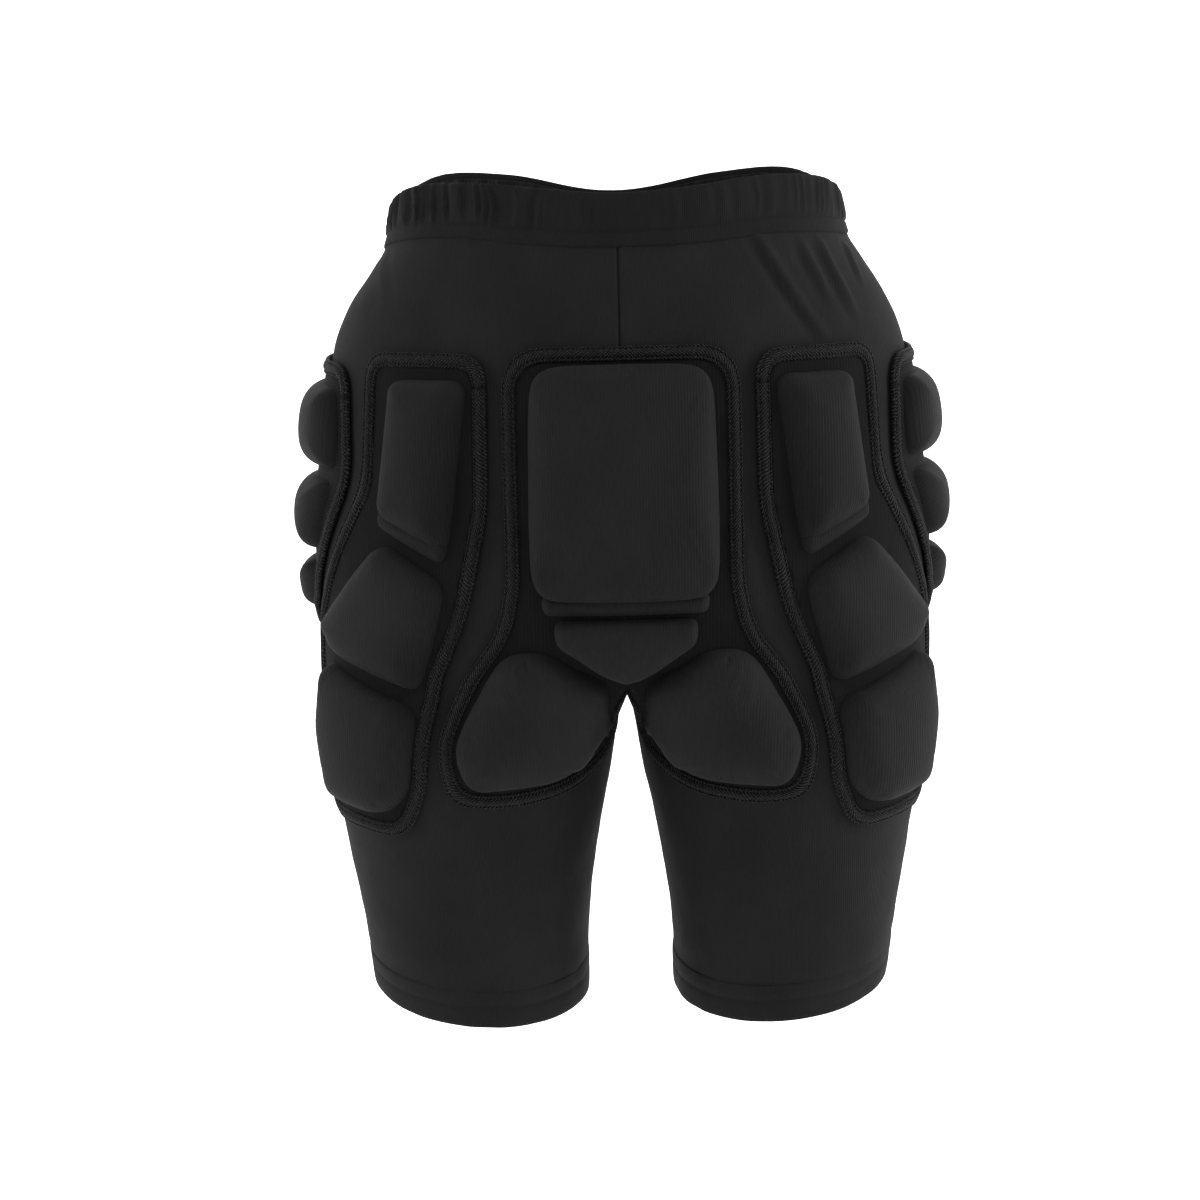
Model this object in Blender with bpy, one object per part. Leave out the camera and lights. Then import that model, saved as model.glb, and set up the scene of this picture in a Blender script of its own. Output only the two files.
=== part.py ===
"""Padded impact shorts: close-fitting shorts with raised foam pads on the seat, thighs and hips.

Metres. +X is the wearer's right, +Y the wearer's front, +Z up. The origin is the centre of the
waist opening. Positions on the shorts are given as (arc, level): arc is measured round the body
from the centre-back line, level is measured down from the top of the waist.
"""
import math

import bmesh
import bpy
import numpy as np
from mathutils import Matrix, Vector
from mathutils.geometry import delaunay_2d_cdt

MM = 0.001

# ---- body form: (level, half width, rear depth, front depth, squareness)
TORSO = [
    (0.000, 0.1190, 0.0880, 0.0920, 2.15),
    (0.030, 0.1240, 0.0905, 0.0950, 2.15),
    (0.042, 0.1310, 0.0930, 0.0970, 2.18),
    (0.060, 0.1425, 0.0970, 0.1000, 2.20),
    (0.085, 0.1530, 0.1035, 0.1030, 2.25),
    (0.120, 0.1585, 0.1120, 0.1050, 2.30),
    (0.160, 0.1625, 0.1190, 0.1050, 2.35),
    (0.200, 0.1645, 0.1225, 0.1035, 2.40),
    (0.235, 0.1635, 0.1165, 0.0975, 2.45),
]
# ---- leg form: (level, centre x, centre y, half width, half depth, squareness)
LEG = [
    (0.290, 0.0825, -0.0110, 0.0780, 0.0960, 2.25),
    (0.320, 0.0845, -0.0080, 0.0750, 0.0890, 2.20),
    (0.360, 0.0860, -0.0050, 0.0685, 0.0815, 2.15),
    (0.400, 0.0856, -0.0020, 0.0629, 0.0750, 2.10),
    (0.441, 0.0835, 0.0000, 0.0590, 0.0690, 2.05),
]
CROTCH_LEVEL = 0.262
SEAM_REAR = (-0.101, -0.252)
SEAM_LOW = (-0.010, -0.270)
SEAM_FRONT = (0.080, -0.250)
CROTCH_SMOOTHING = 0.14
LEG_CORNER = math.radians(48)
HEM_RISE_X = 0.08
HEM_RISE_Y = 0.11
OUTER_COLUMNS = 97
INNER_COLUMNS = 25
ROW_STEP = 4 * MM

# ---- layers, as heights above the body form
FABRIC = (-1.4 * MM, 0.0)
BAND = (-0.8 * MM, 0.7 * MM)
ELASTIC = (-2.8 * MM, -1.2 * MM)
HEM = (-1.7 * MM, 0.3 * MM)
PANEL = (1.5 * MM, 2.5 * MM)
TAIL_LAYER = (1.8 * MM, 2.6 * MM)
BINDING = (1.5 * MM, 3.6 * MM)
PAD_FOOT = 3.6 * MM
CORE_FOOT = 4.4 * MM
COVER_SKIN = 1.3 * MM
CORE_GAP = 0.6 * MM

# ---- edges between the fabric pieces
JOIN_GAP = 0.4 * MM
BAND_LEVELS = (0.0, 0.030)
ELASTIC_LEVELS = (0.003, 0.027)
SIDE_SEAM = 0.5
SEAT_EDGE = [(0.0, 0.245), (0.30, 0.245), (0.50, 0.225), (0.70, 0.183), (0.85, 0.162), (1.0, 0.153)]
LEG_TOP = 0.2865
GUSSET_EDGE = 0.284
GUSSET_SHARE = 0.97
HEM_TOP = 0.421
HEM_EDGE = 0.441
SEAM_SHARE = 0.0006

# ---- rows and columns of the fabric pieces
QUARTER_COLUMNS = 10
SEAT_ROWS = 8
FRONT_ROWS = 6
STRETCH_ROWS = 4
LEG_ROWS = 5
LEG_COLUMNS = 26
GUSSET_COLUMNS = 8
GUSSET_ROWS = 2
BAND_COLUMNS = 18

# ---- moulded panels: outer edge of the binding tape, (arc, level)
BINDING_WIDTH = 7.5 * MM
BINDING_JOIN = 1.3 * MM
TAIL_END_JOIN = 3.25 * MM
PANEL_SPACING = 15 * MM
TAIL_SPACING = 12 * MM
CENTRE_STEPS = 14
PANEL_RADIUS = 0.016
TAIL_RADIUS = 0.024
TAIL_EDGE_STEP = 0.014
TAIL_ARC_STEPS = 3
EDGE_STEP = 0.018
LEAST_RADIUS = 1.5 * MM
TAIL_EDGE = [
    (0.0, 0.080), (0.0610, 0.080), (0.0605, 0.200), (0.0665, 0.224),
    (0.0895, 0.256), (0.1015, 0.285), (0.0960, 0.315), (0.070, 0.3175), (0.030, 0.314),
    (-0.004, 0.303), (-0.020, 0.288), (-0.018, 0.262),
]
THIGH_EDGE = [
    (0.0685, 0.083), (0.140, 0.083), (0.143, 0.150), (0.172, 0.190), (0.194, 0.225),
    (0.204, 0.280), (0.188, 0.335), (0.118, 0.335), (0.1070, 0.308), (0.1050, 0.285),
    (0.0965, 0.252), (0.0800, 0.212), (0.0685, 0.160),
]
HIP_EDGE = [
    (0.156, 0.091), (0.274, 0.091), (0.279, 0.165), (0.266, 0.228), (0.222, 0.240),
    (0.186, 0.194), (0.153, 0.150),
]

# ---- raised pads: outlines as (arc, level)
TAIL_PAD = [(-0.0460, 0.090), (0.0460, 0.090), (0.0475, 0.206), (-0.0475, 0.206)]
COCCYX_PAD = [(-0.0365, 0.2160), (0.0365, 0.2160), (0.0365, 0.2275), (0.0, 0.2520), (-0.0365, 0.2275)]
SIT_PAD = [
    (0.0115, 0.2560), (0.0400, 0.2330), (0.0620, 0.2340), (0.0820, 0.2635), (0.0925, 0.2870),
    (0.0862, 0.3064), (0.042, 0.3052), (0.0200, 0.2995), (0.0105, 0.2800),
]
UPPER_PAD = [(0.0785, 0.0965), (0.1215, 0.0965), (0.1310, 0.1660), (0.0905, 0.1835)]
MIDDLE_PAD = [(0.1290, 0.1785), (0.0920, 0.1990), (0.1075, 0.2570), (0.1640, 0.2430), (0.1795, 0.2260)]
LOWER_PAD = [
    (0.1770, 0.2460), (0.1100, 0.2645), (0.1165, 0.3100), (0.1300, 0.3230), (0.1750, 0.3215),
    (0.1880, 0.2830),
]
HIP_UPPER_PAD = [(0.1680, 0.1040), (0.2620, 0.1040), (0.2660, 0.1475), (0.1660, 0.1455)]
HIP_MIDDLE_PAD = [(0.1715, 0.1525), (0.2660, 0.1545), (0.2640, 0.1940), (0.2000, 0.1910)]
HIP_LOWER_PAD = [(0.2080, 0.1980), (0.2620, 0.2000), (0.2565, 0.2225), (0.2270, 0.2290)]
# name, outline, corner radius, height above the form, one on each side
PADS = [
    ("tailbone", TAIL_PAD, 0.016, 15.5 * MM, False),
    ("coccyx", COCCYX_PAD, 0.008, 13.0 * MM, False),
    ("sit", SIT_PAD, 0.014, 15.5 * MM, True),
    ("thigh_upper", UPPER_PAD, 0.009, 14.0 * MM, True),
    ("thigh_middle", MIDDLE_PAD, 0.010, 14.0 * MM, True),
    ("thigh_lower", LOWER_PAD, 0.011, 14.0 * MM, True),
    ("hip_upper", HIP_UPPER_PAD, 0.009, 14.0 * MM, True),
    ("hip_middle", HIP_MIDDLE_PAD, 0.009, 14.0 * MM, True),
    ("hip_lower", HIP_LOWER_PAD, 0.008, 13.0 * MM, True),
]
WALL_INSET = 1.5 * MM
WALL_SHARE = 0.72
SHOULDER_INSET = 5.0 * MM
FILL_SPACING = 20 * MM

# ---- hip hinges
HINGE_HEIGHT = -0.225
HINGE_SIDE = 0.085

for item in list(bpy.data.objects):
    bpy.data.objects.remove(item, do_unlink=True)


def power(value, squareness):
    return math.copysign(abs(value) ** (2.0 / squareness), value)


def torso_point(row, share):
    level, width, rear, front, squareness = row
    along = math.cos(math.pi * share)
    across = math.sin(math.pi * share)
    depth = -rear if along > 0 else -front
    return np.array((width * power(across, squareness), depth * power(along, squareness), -level))


def leg_point(row, angle):
    level, cx, cy, half_width, half_depth, squareness = row
    x = cx + half_width * power(math.cos(angle), squareness)
    y = cy + half_depth * power(math.sin(angle), squareness)
    tilt = (level - LEG[0][0]) / (LEG[-1][0] - LEG[0][0])
    z = -level + tilt * (HEM_RISE_X * (x - cx) + HEM_RISE_Y * (y - cy))
    return np.array((x, y, z))


def seam_point(share):
    """Point on the centre seam under the crotch, from the rear corner to the front corner."""
    if share < 0.5:
        end, k = SEAM_REAR, 1.0 - 2.0 * share
    else:
        end, k = SEAM_FRONT, 2.0 * share - 1.0
    y = SEAM_LOW[0] + (end[0] - SEAM_LOW[0]) * k
    z = SEAM_LOW[1] + (end[1] - SEAM_LOW[1]) * k**3
    return np.array((0.0, y, z))


def outer_angle(share):
    return (math.pi - LEG_CORNER) * (2.0 * share - 1.0)


def crotch_point(share):
    """Ring at the crotch: between the last torso ring and the first leg ring."""
    middle = 0.5 * torso_point(TORSO[-1], share) + 0.5 * leg_point(LEG[0], outer_angle(share))
    near = max(0.0, 1.0 - min(share, 1.0 - share) / CROTCH_SMOOTHING) ** 2
    return middle * (1.0 - near) + seam_point(0.0 if share < 0.5 else 1.0) * near


def through(knots, points, level):
    """Smooth curve through the key points of one column."""
    k = min(max(int(np.searchsorted(knots, level, side="right")) - 1, 1), len(knots) - 3)
    span = knots[k + 1] - knots[k]
    lead = (points[k + 1] - points[k - 1]) / (knots[k + 1] - knots[k - 1]) * span
    tail = (points[k + 2] - points[k]) / (knots[k + 2] - knots[k]) * span
    u = (level - knots[k]) / span
    return (
        (2 * u**3 - 3 * u**2 + 1) * points[k]
        + (u**3 - 2 * u**2 + u) * lead
        + (3 * u**2 - 2 * u**3) * points[k + 1]
        + (u**3 - u**2) * tail
    )


def padded_ends(values):
    return [2 * values[0] - values[1]] + list(values) + [2 * values[-1] - values[-2]]


def build_form():
    """Rows of points and normals over the right half; leg rows are closed loops."""
    upper = int(round(CROTCH_LEVEL / ROW_STEP))
    lower = int(round((HEM_EDGE - CROTCH_LEVEL) / ROW_STEP))
    rows = [CROTCH_LEVEL * i / upper for i in range(upper)]
    rows += [CROTCH_LEVEL + (HEM_EDGE - CROTCH_LEVEL) * i / lower for i in range(lower + 1)]
    levels = [row[0] for row in TORSO] + [CROTCH_LEVEL] + [row[0] for row in LEG]
    knots = np.array(padded_ends(levels))
    outer = np.zeros((len(rows), OUTER_COLUMNS, 3))
    for c in range(OUTER_COLUMNS):
        share = c / (OUTER_COLUMNS - 1)
        keys = [torso_point(row, share) for row in TORSO] + [crotch_point(share)]
        keys += [leg_point(row, outer_angle(share)) for row in LEG]
        points = np.array(padded_ends(keys))
        outer[:, c] = [through(knots, points, level) for level in rows]
        outer[:upper + 1, c, 0] = np.maximum(outer[:upper + 1, c, 0], 0.0)
    outer[:upper + 1, 0, 0] = 0.0
    outer[:upper + 1, -1, 0] = 0.0
    inner_knots = np.array(padded_ends(levels[len(TORSO):]))
    inner = np.zeros((len(rows) - upper, INNER_COLUMNS, 3))
    for c in range(INNER_COLUMNS):
        share = c / (INNER_COLUMNS - 1)
        angle = math.pi + LEG_CORNER - 2 * LEG_CORNER * share
        keys = [seam_point(share)] + [leg_point(row, angle) for row in LEG]
        mirrored = keys[1] * np.array((-1.0, 1.0, 1.0))
        points = np.array([mirrored] + keys + [2 * keys[-1] - keys[-2]])
        inner[:, c] = [through(inner_knots, points, level) for level in rows[upper:]]
    return np.array(rows), upper, outer, inner


ROWS, FIRST_LEG, OUTER, INNER = build_form()
HALF_INNER = INNER_COLUMNS // 2


def unit(vectors):
    return vectors / np.maximum(np.linalg.norm(vectors, axis=-1, keepdims=True), 1e-12)


def build_rings():
    """Per row: ring of points from the inner thigh round the rear, hip and front."""
    flip = np.array((-1.0, 1.0, 1.0))
    down = np.zeros_like(OUTER)
    down[1:-1] = OUTER[2:] - OUTER[:-2]
    down[0] = OUTER[1] - OUTER[0]
    down[-1] = OUTER[-1] - OUTER[-2]
    under = np.zeros_like(INNER)
    under[1:-1] = INNER[2:] - INNER[:-2]
    under[0] = INNER[1] - INNER[1] * flip
    under[-1] = INNER[-1] - INNER[-2]
    rings, normals = [], []
    for r in range(len(ROWS)):
        if r < FIRST_LEG:
            line = OUTER[r]
            ends = np.concatenate([line[1:2] * flip, line, line[-2:-1] * flip])
            along = ends[2:] - ends[:-2]
            fall = down[r]
        else:
            k = r - FIRST_LEG
            rear = INNER[k][HALF_INNER:0:-1]
            front = INNER[k][INNER_COLUMNS - 2:HALF_INNER - 1:-1]
            line = np.concatenate([rear, OUTER[r], front])
            fall = np.concatenate(
                [under[k][HALF_INNER:0:-1], down[r], under[k][INNER_COLUMNS - 2:HALF_INNER - 1:-1]]
            )
            ends = np.concatenate([line[-2:-1], line, line[1:2]])
            along = ends[2:] - ends[:-2]
        normal = unit(np.cross(fall, along))
        if r == FIRST_LEG:
            normal[:HALF_INNER + 1, 0] = 0.0
            normal[HALF_INNER + OUTER_COLUMNS - 1:, 0] = 0.0
            normal = unit(normal)
        rings.append(line)
        normals.append(normal)
    return rings, normals


RINGS, NORMALS = build_rings()
REFERENCE_X = 0.060


def build_arcs():
    """Arc length round each ring, zero on the centre-back line."""
    arcs = []
    held = 0.0
    for r, line in enumerate(RINGS):
        length = np.concatenate([[0.0], np.cumsum(np.linalg.norm(np.diff(line, axis=0), axis=1))])
        offset = 0 if r < FIRST_LEG else HALF_INNER
        rear = line[offset:offset + OUTER_COLUMNS // 2, 0]
        k = offset + int(np.argmax(rear > REFERENCE_X))
        part = (REFERENCE_X - line[k - 1, 0]) / (line[k, 0] - line[k - 1, 0])
        at = length[k - 1] + part * (length[k] - length[k - 1])
        if r <= FIRST_LEG:
            held = at - length[offset]
        arcs.append(length - at + held)
    return arcs


ARCS = build_arcs()


def on_row(r, arc):
    arcs = ARCS[r]
    k = min(max(int(np.searchsorted(arcs, arc)) - 1, 0), len(arcs) - 2)
    part = (arc - arcs[k]) / (arcs[k + 1] - arcs[k])
    part = min(max(part, 0.0), 1.0)
    point = RINGS[r][k] * (1 - part) + RINGS[r][k + 1] * part
    normal = NORMALS[r][k] * (1 - part) + NORMALS[r][k + 1] * part
    return point, normal


def row_at(level):
    r = min(max(int(np.searchsorted(ROWS, level, side="right")) - 1, 0), len(ROWS) - 2)
    return r, min(max((level - ROWS[r]) / (ROWS[r + 1] - ROWS[r]), 0.0), 1.0)


def place(arc, level, height):
    """Point at a height above the form; a negative arc on the torso is the left half."""
    r, part = row_at(level)
    mirrored = arc < 0 and level < CROTCH_LEVEL
    size = abs(arc) if mirrored else arc
    p0, n0 = on_row(r, size)
    p1, n1 = on_row(r + 1, size)
    point = p0 * (1 - part) + p1 * part
    normal = unit(n0 * (1 - part) + n1 * part)
    out = point + normal * height
    if mirrored:
        out[0] = -out[0]
    return Vector(out)


def at_column(share, level, height):
    """Point on an outer column: share 0 is centre back, 1 is centre front."""
    r, part = row_at(level)
    c = share * (OUTER_COLUMNS - 1)
    k = min(int(c), OUTER_COLUMNS - 2)
    side = c - k
    values = []
    for row in (r, r + 1):
        i = k + (0 if row < FIRST_LEG else HALF_INNER)
        point = RINGS[row][i] * (1 - side) + RINGS[row][i + 1] * side
        normal = NORMALS[row][i] * (1 - side) + NORMALS[row][i + 1] * side
        values.append((point, normal))
    point = values[0][0] * (1 - part) + values[1][0] * part
    normal = unit(values[0][1] * (1 - part) + values[1][1] * part)
    return Vector(point + normal * height)


def at_ring(index, count, level, height):
    """Point on a closed leg ring, numbered from the inner thigh round the rear."""
    r, part = row_at(max(level, CROTCH_LEVEL))
    total = len(RINGS[-1]) - 1
    c = index / count * total
    k = min(int(c), total - 1)
    side = c - k
    values = []
    for row in (r, r + 1):
        point = RINGS[row][k] * (1 - side) + RINGS[row][k + 1] * side
        normal = NORMALS[row][k] * (1 - side) + NORMALS[row][k + 1] * side
        values.append((point, normal))
    point = values[0][0] * (1 - part) + values[1][0] * part
    normal = unit(values[0][1] * (1 - part) + values[1][1] * part)
    return Vector(point + normal * height)


def material(name, colour, roughness, sheen=0.0):
    made = bpy.data.materials.new(name)
    made.use_nodes = True
    shader = made.node_tree.nodes["Principled BSDF"]
    shader.inputs["Base Color"].default_value = (*colour, 1.0)
    shader.inputs["Roughness"].default_value = roughness
    shader.inputs["Sheen Weight"].default_value = sheen
    return made


COLOURS = {
    "knit": ((0.020, 0.020, 0.021), 0.85, 0.3),
    "band": ((0.022, 0.022, 0.023), 0.80, 0.3),
    "panel": ((0.023, 0.023, 0.024), 0.80, 0.2),
    "tape": ((0.012, 0.012, 0.013), 0.70, 0.1),
    "pad": ((0.026, 0.026, 0.027), 0.75, 0.2),
    "foam": ((0.080, 0.080, 0.085), 0.95, 0.0),
    "elastic": ((0.020, 0.020, 0.020), 0.80, 0.0),
}


def add(name, verts, faces, look, smooth=True):
    mesh = bpy.data.meshes.new(name)
    mesh.from_pydata([tuple(v) for v in verts], [], faces)
    shape = bmesh.new()
    shape.from_mesh(mesh)
    bmesh.ops.remove_doubles(shape, verts=shape.verts, dist=0.00001)
    bmesh.ops.triangulate(shape, faces=shape.faces)
    bmesh.ops.recalc_face_normals(shape, faces=shape.faces)
    shape.to_mesh(mesh)
    shape.free()
    for face in mesh.polygons:
        face.use_smooth = smooth
    mesh.materials.append(material(name, *COLOURS[look]))
    made = bpy.data.objects.new(name, mesh)
    bpy.context.scene.collection.objects.link(made)
    return made


def mirror(source, name):
    mesh = source.data.copy()
    mesh.name = name
    shape = bmesh.new()
    shape.from_mesh(mesh)
    bmesh.ops.transform(shape, matrix=Matrix.Scale(-1.0, 4, (1, 0, 0)), verts=shape.verts)
    bmesh.ops.reverse_faces(shape, faces=shape.faces)
    shape.to_mesh(mesh)
    shape.free()
    look = source.data.materials[0].copy()
    look.name = name
    mesh.materials.clear()
    mesh.materials.append(look)
    made = bpy.data.objects.new(name, mesh)
    bpy.context.scene.collection.objects.link(made)
    return made


def block(grid_out, grid_in, wrap):
    """Closed solid between two grids of points; wrap joins the last column to the first."""
    rows, cols = len(grid_out), len(grid_out[0])
    verts = [p for line in grid_out for p in line] + [p for line in grid_in for p in line]
    base = rows * cols
    faces = []
    steps = cols if wrap else cols - 1
    for r in range(rows - 1):
        for c in range(steps):
            a, b = r * cols + c, r * cols + (c + 1) % cols
            faces.append((a, b, b + cols, a + cols))
            faces.append((base + a, base + a + cols, base + b + cols, base + b))
    for c in range(steps):
        for a in (c, (rows - 1) * cols + c):
            b = a - c + (c + 1) % cols
            faces.append((a, b, base + b, base + a))
    if not wrap:
        for r in range(rows - 1):
            for a in (r * cols, r * cols + cols - 1):
                faces.append((a, a + cols, base + a + cols, base + a))
    return verts, faces


def edge_level(share):
    shares, levels = zip(*SEAT_EDGE)
    return float(np.interp(share, shares, levels))


def torso_patch(name, shares, top, bottom, rows, layer, centre):
    """Fabric over part of the torso; columns on the centre line stop just short of it."""
    grids = []
    for height in (layer[1], layer[0]):
        grid = []
        for r in range(rows + 1):
            line = []
            for share in shares:
                level = top(share) + (bottom(share) - top(share)) * r / rows
                point = at_column(share, level, height)
                if share in centre:
                    point.x = JOIN_GAP / 2
                line.append(point)
            grid.append(line)
        grids.append(grid)
    verts, faces = block(grids[0], grids[1], False)
    return add(name, verts, faces, "knit")


def whole_ring(name, levels, rows, layer, look, columns):
    """Band right round the waist."""
    grids = []
    for height in (layer[1], layer[0]):
        grid = []
        for r in range(rows + 1):
            level = levels[0] + (levels[1] - levels[0]) * r / rows
            right = [at_column(c / columns, level, height) for c in range(columns + 1)]
            left = [Vector((-p.x, p.y, p.z)) for p in right[-2:0:-1]]
            grid.append(right + left)
        grids.append(grid)
    verts, faces = block(grids[0], grids[1], True)
    return add(name, verts, faces, look)


def leg_ring(name, levels, rows, layer, look, columns):
    grids = []
    for height in (layer[1], layer[0]):
        grid = []
        for r in range(rows + 1):
            level = levels[0] + (levels[1] - levels[0]) * r / rows
            grid.append([at_ring(c, columns, level, height) for c in range(columns)])
        grids.append(grid)
    verts, faces = block(grids[0], grids[1], True)
    return add(name, verts, faces, look)


def gusset(name, columns, rows, layer):
    """Strip under the crotch, from the left inner thigh over the centre seam to the right."""
    grids = []
    total = len(RINGS[-1]) - 1
    shares = [GUSSET_SHARE * HALF_INNER * (-1 + 2 * c / columns) for c in range(columns + 1)]
    for height in (layer[1], layer[0]):
        grid = []
        for r in range(-rows, rows + 1):
            level = CROTCH_LEVEL + (GUSSET_EDGE - CROTCH_LEVEL) * abs(r) / rows
            line = []
            for share in shares:
                place_on = share if share >= 0 else total + share
                point = at_ring(place_on, total, level, height)
                line.append(Vector((-point.x if r < 0 else point.x, point.y, point.z)))
            grid.append(line)
        grids.append(grid)
    verts, faces = block(grids[0], grids[1], False)
    return add(name, verts, faces, "knit")


def moved_in(corners, distance, closed):
    """Corners of the outline moved inward, each edge by the same distance."""
    points = [np.array(corner) for corner in corners]
    total = len(points)
    loop = points + points[:1]
    area = sum(p[0] * q[1] - q[0] * p[1] for p, q in zip(loop, loop[1:]))
    turn = 1.0 if area > 0 else -1.0
    lines = []
    for p, q in zip(loop, loop[1:]):
        along = unit(q - p)
        lines.append((p + distance * turn * np.array((-along[1], along[0])), along))
    moved = []
    for i in range(total):
        if not closed and i == 0:
            moved.append(lines[0][0])
            continue
        if not closed and i == total - 1:
            moved.append(lines[i - 1][0] + points[i] - points[i - 1])
            continue
        (p, d), (q, e) = lines[i - 1], lines[i]
        across = d[0] * e[1] - d[1] * e[0]
        step = ((q[0] - p[0]) * e[1] - (q[1] - p[1]) * e[0]) / across
        moved.append(p + d * step)
    return moved


def rounded(corners, radius, inset=0.0, closed=True, arc_steps=2, edge_step=EDGE_STEP):
    """Outline through the corners with rounded turns, moved inward by the inset."""
    total = len(corners)
    outer = [np.array(corner) for corner in corners]
    moved = moved_in(corners, inset, closed) if inset else outer
    turn_radius = max(radius - inset, LEAST_RADIUS)
    arcs = []
    for i in range(total):
        here = moved[i]
        if not closed and i in (0, total - 1):
            arcs.append([here])
            continue
        before, after = moved[i - 1] - here, moved[(i + 1) % total] - here
        reach = min(turn_radius, 0.46 * np.linalg.norm(before), 0.46 * np.linalg.norm(after))
        start, end = here + unit(before) * reach, here + unit(after) * reach
        shares = [k / arc_steps for k in range(arc_steps + 1)]
        arcs.append([start * (1 - u) ** 2 + here * 2 * u * (1 - u) + end * u**2 for u in shares])
    path = []
    for i in range(total):
        path.extend(arcs[i])
        if not closed and i == total - 1:
            break
        following = arcs[(i + 1) % total][0]
        length = np.linalg.norm(outer[(i + 1) % total] - outer[i])
        extra = int(max(0.0, length - 1.3 * radius) / edge_step)
        for k in range(extra):
            path.append(arcs[i][-1] + (following - arcs[i][-1]) * (k + 1) / (extra + 1))
    return np.array(path)


def inside(point, outline):
    hit = False
    count = len(outline)
    for i in range(count):
        a, b = outline[i], outline[(i + 1) % count]
        if (a[1] > point[1]) != (b[1] > point[1]):
            if point[0] < a[0] + (point[1] - a[1]) / (b[1] - a[1]) * (b[0] - a[0]):
                hit = not hit
    return hit


def filled(outline, spacing):
    """Triangles inside an outline, with inner points so that the sheet can follow the body."""
    low, high = outline.min(axis=0), outline.max(axis=0)
    extra = []
    level = low[1] + spacing / 2
    odd = False
    while level < high[1]:
        arc = low[0] + spacing * (0.25 if odd else 0.75)
        while arc < high[0]:
            point = np.array((arc, level))
            clear = np.min(np.linalg.norm(outline - point, axis=1))
            if clear > 0.5 * spacing and inside(point, outline):
                extra.append(point)
            arc += spacing
        level += spacing * 0.86
        odd = not odd
    points = list(outline) + extra
    count = len(outline)
    edges = [(i, (i + 1) % count) for i in range(count)]
    found = delaunay_2d_cdt([Vector(p) for p in points], edges, [], 1, 1e-7)
    slots = [origin[0] for origin in found[3]]
    return points, [tuple(slots[i] for i in face) for face in found[2]]


def pad_arc_steps(corners):
    return 3 if len(corners) < 5 else 2


def pad_cover(name, corners, radius, height):
    """Face cover of a raised pad, open towards the panel so that its foam block sits inside."""
    verts, faces = [], []
    arc_steps = pad_arc_steps(corners)
    count = len(rounded(corners, radius, arc_steps=arc_steps))
    wall = PAD_FOOT + (height - PAD_FOOT) * WALL_SHARE

    def skin(start, top, wall_height):
        """One layer of the cover; gives the number of its first vertex."""
        loops = [
            (rounded(corners, radius, start, arc_steps=arc_steps), PAD_FOOT),
            (rounded(corners, radius, start + WALL_INSET, arc_steps=arc_steps), wall_height),
            (rounded(corners, radius, start + SHOULDER_INSET, arc_steps=arc_steps), top),
        ]
        first = len(verts)
        for loop, rise in loops:
            verts.extend(place(p[0], p[1], rise) for p in loop)
        for ring in range(2):
            for c in range(count):
                a = first + ring * count + c
                b = first + ring * count + (c + 1) % count
                faces.append((a, b, b + count, a + count))
        points, triangles = filled(loops[-1][0], FILL_SPACING)
        slots = [first + 2 * count + i for i in range(count)]
        for point in points[count:]:
            slots.append(len(verts))
            verts.append(place(point[0], point[1], top))
        faces.extend(tuple(slots[i] for i in triangle) for triangle in triangles)
        return first

    outer = skin(0.0, height, wall)
    inner = skin(COVER_SKIN, height - COVER_SKIN, wall - COVER_SKIN)
    for c in range(count):
        d = (c + 1) % count
        faces.append((outer + c, outer + d, inner + d, inner + c))
    return add(name, verts, faces, "pad")


def pad_core(name, corners, radius, height):
    """Foam block inside a pad cover."""
    arc_steps = pad_arc_steps(corners)
    count = len(rounded(corners, radius, arc_steps=arc_steps))
    start = COVER_SKIN + CORE_GAP
    top = height - COVER_SKIN - CORE_GAP
    wall = PAD_FOOT + (top - PAD_FOOT) * WALL_SHARE - CORE_GAP
    loops = [
        (rounded(corners, radius, start, arc_steps=arc_steps), CORE_FOOT),
        (rounded(corners, radius, start + WALL_INSET, arc_steps=arc_steps), wall),
        (rounded(corners, radius, start + SHOULDER_INSET, arc_steps=arc_steps), top),
    ]
    verts = [place(p[0], p[1], rise) for loop, rise in loops for p in loop]
    faces = []
    for ring in range(2):
        for c in range(count):
            a, b = ring * count + c, ring * count + (c + 1) % count
            faces.append((a, b, b + count, a + count))
    for ring, rise in ((0, CORE_FOOT), (2, top)):
        points, triangles = filled(loops[ring][0], FILL_SPACING)
        slots = [ring * count + i for i in range(count)]
        for point in points[count:]:
            slots.append(len(verts))
            verts.append(place(point[0], point[1], rise))
        faces.extend(tuple(slots[i] for i in triangle) for triangle in triangles)
    return add(name, verts, faces, "foam")


def sheet(outline, layer, spacing, keep=None):
    """Thin closed sheet; edges for which keep is false stay open for the mirrored half."""
    points, triangles = filled(outline, spacing)
    count = len(points)
    verts = [place(p[0], p[1], layer[1]) for p in points]
    verts += [place(p[0], p[1], layer[0]) for p in points]
    faces = list(triangles)
    faces += [tuple(count + i for i in reversed(triangle)) for triangle in triangles]
    edge_count = len(outline)
    for c in range(edge_count):
        d = (c + 1) % edge_count
        if keep is None or keep(points[c], points[d]):
            faces.append((c, d, count + d, count + c))
    return verts, faces


def tape(outline, inner, layer, closed):
    """Binding tape between its outer and inner edge."""
    count = len(outline)
    verts = []
    for rise in (layer[1], layer[0]):
        for line in (outline, inner):
            verts.extend(place(p[0], p[1], rise) for p in line)
    faces = []
    steps = count if closed else count - 1
    for c in range(steps):
        d = (c + 1) % count
        for a, b in ((0, 1), (1, 3), (3, 2), (2, 0)):
            faces.append((a * count + c, a * count + d, b * count + d, b * count + c))
    return verts, faces


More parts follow.
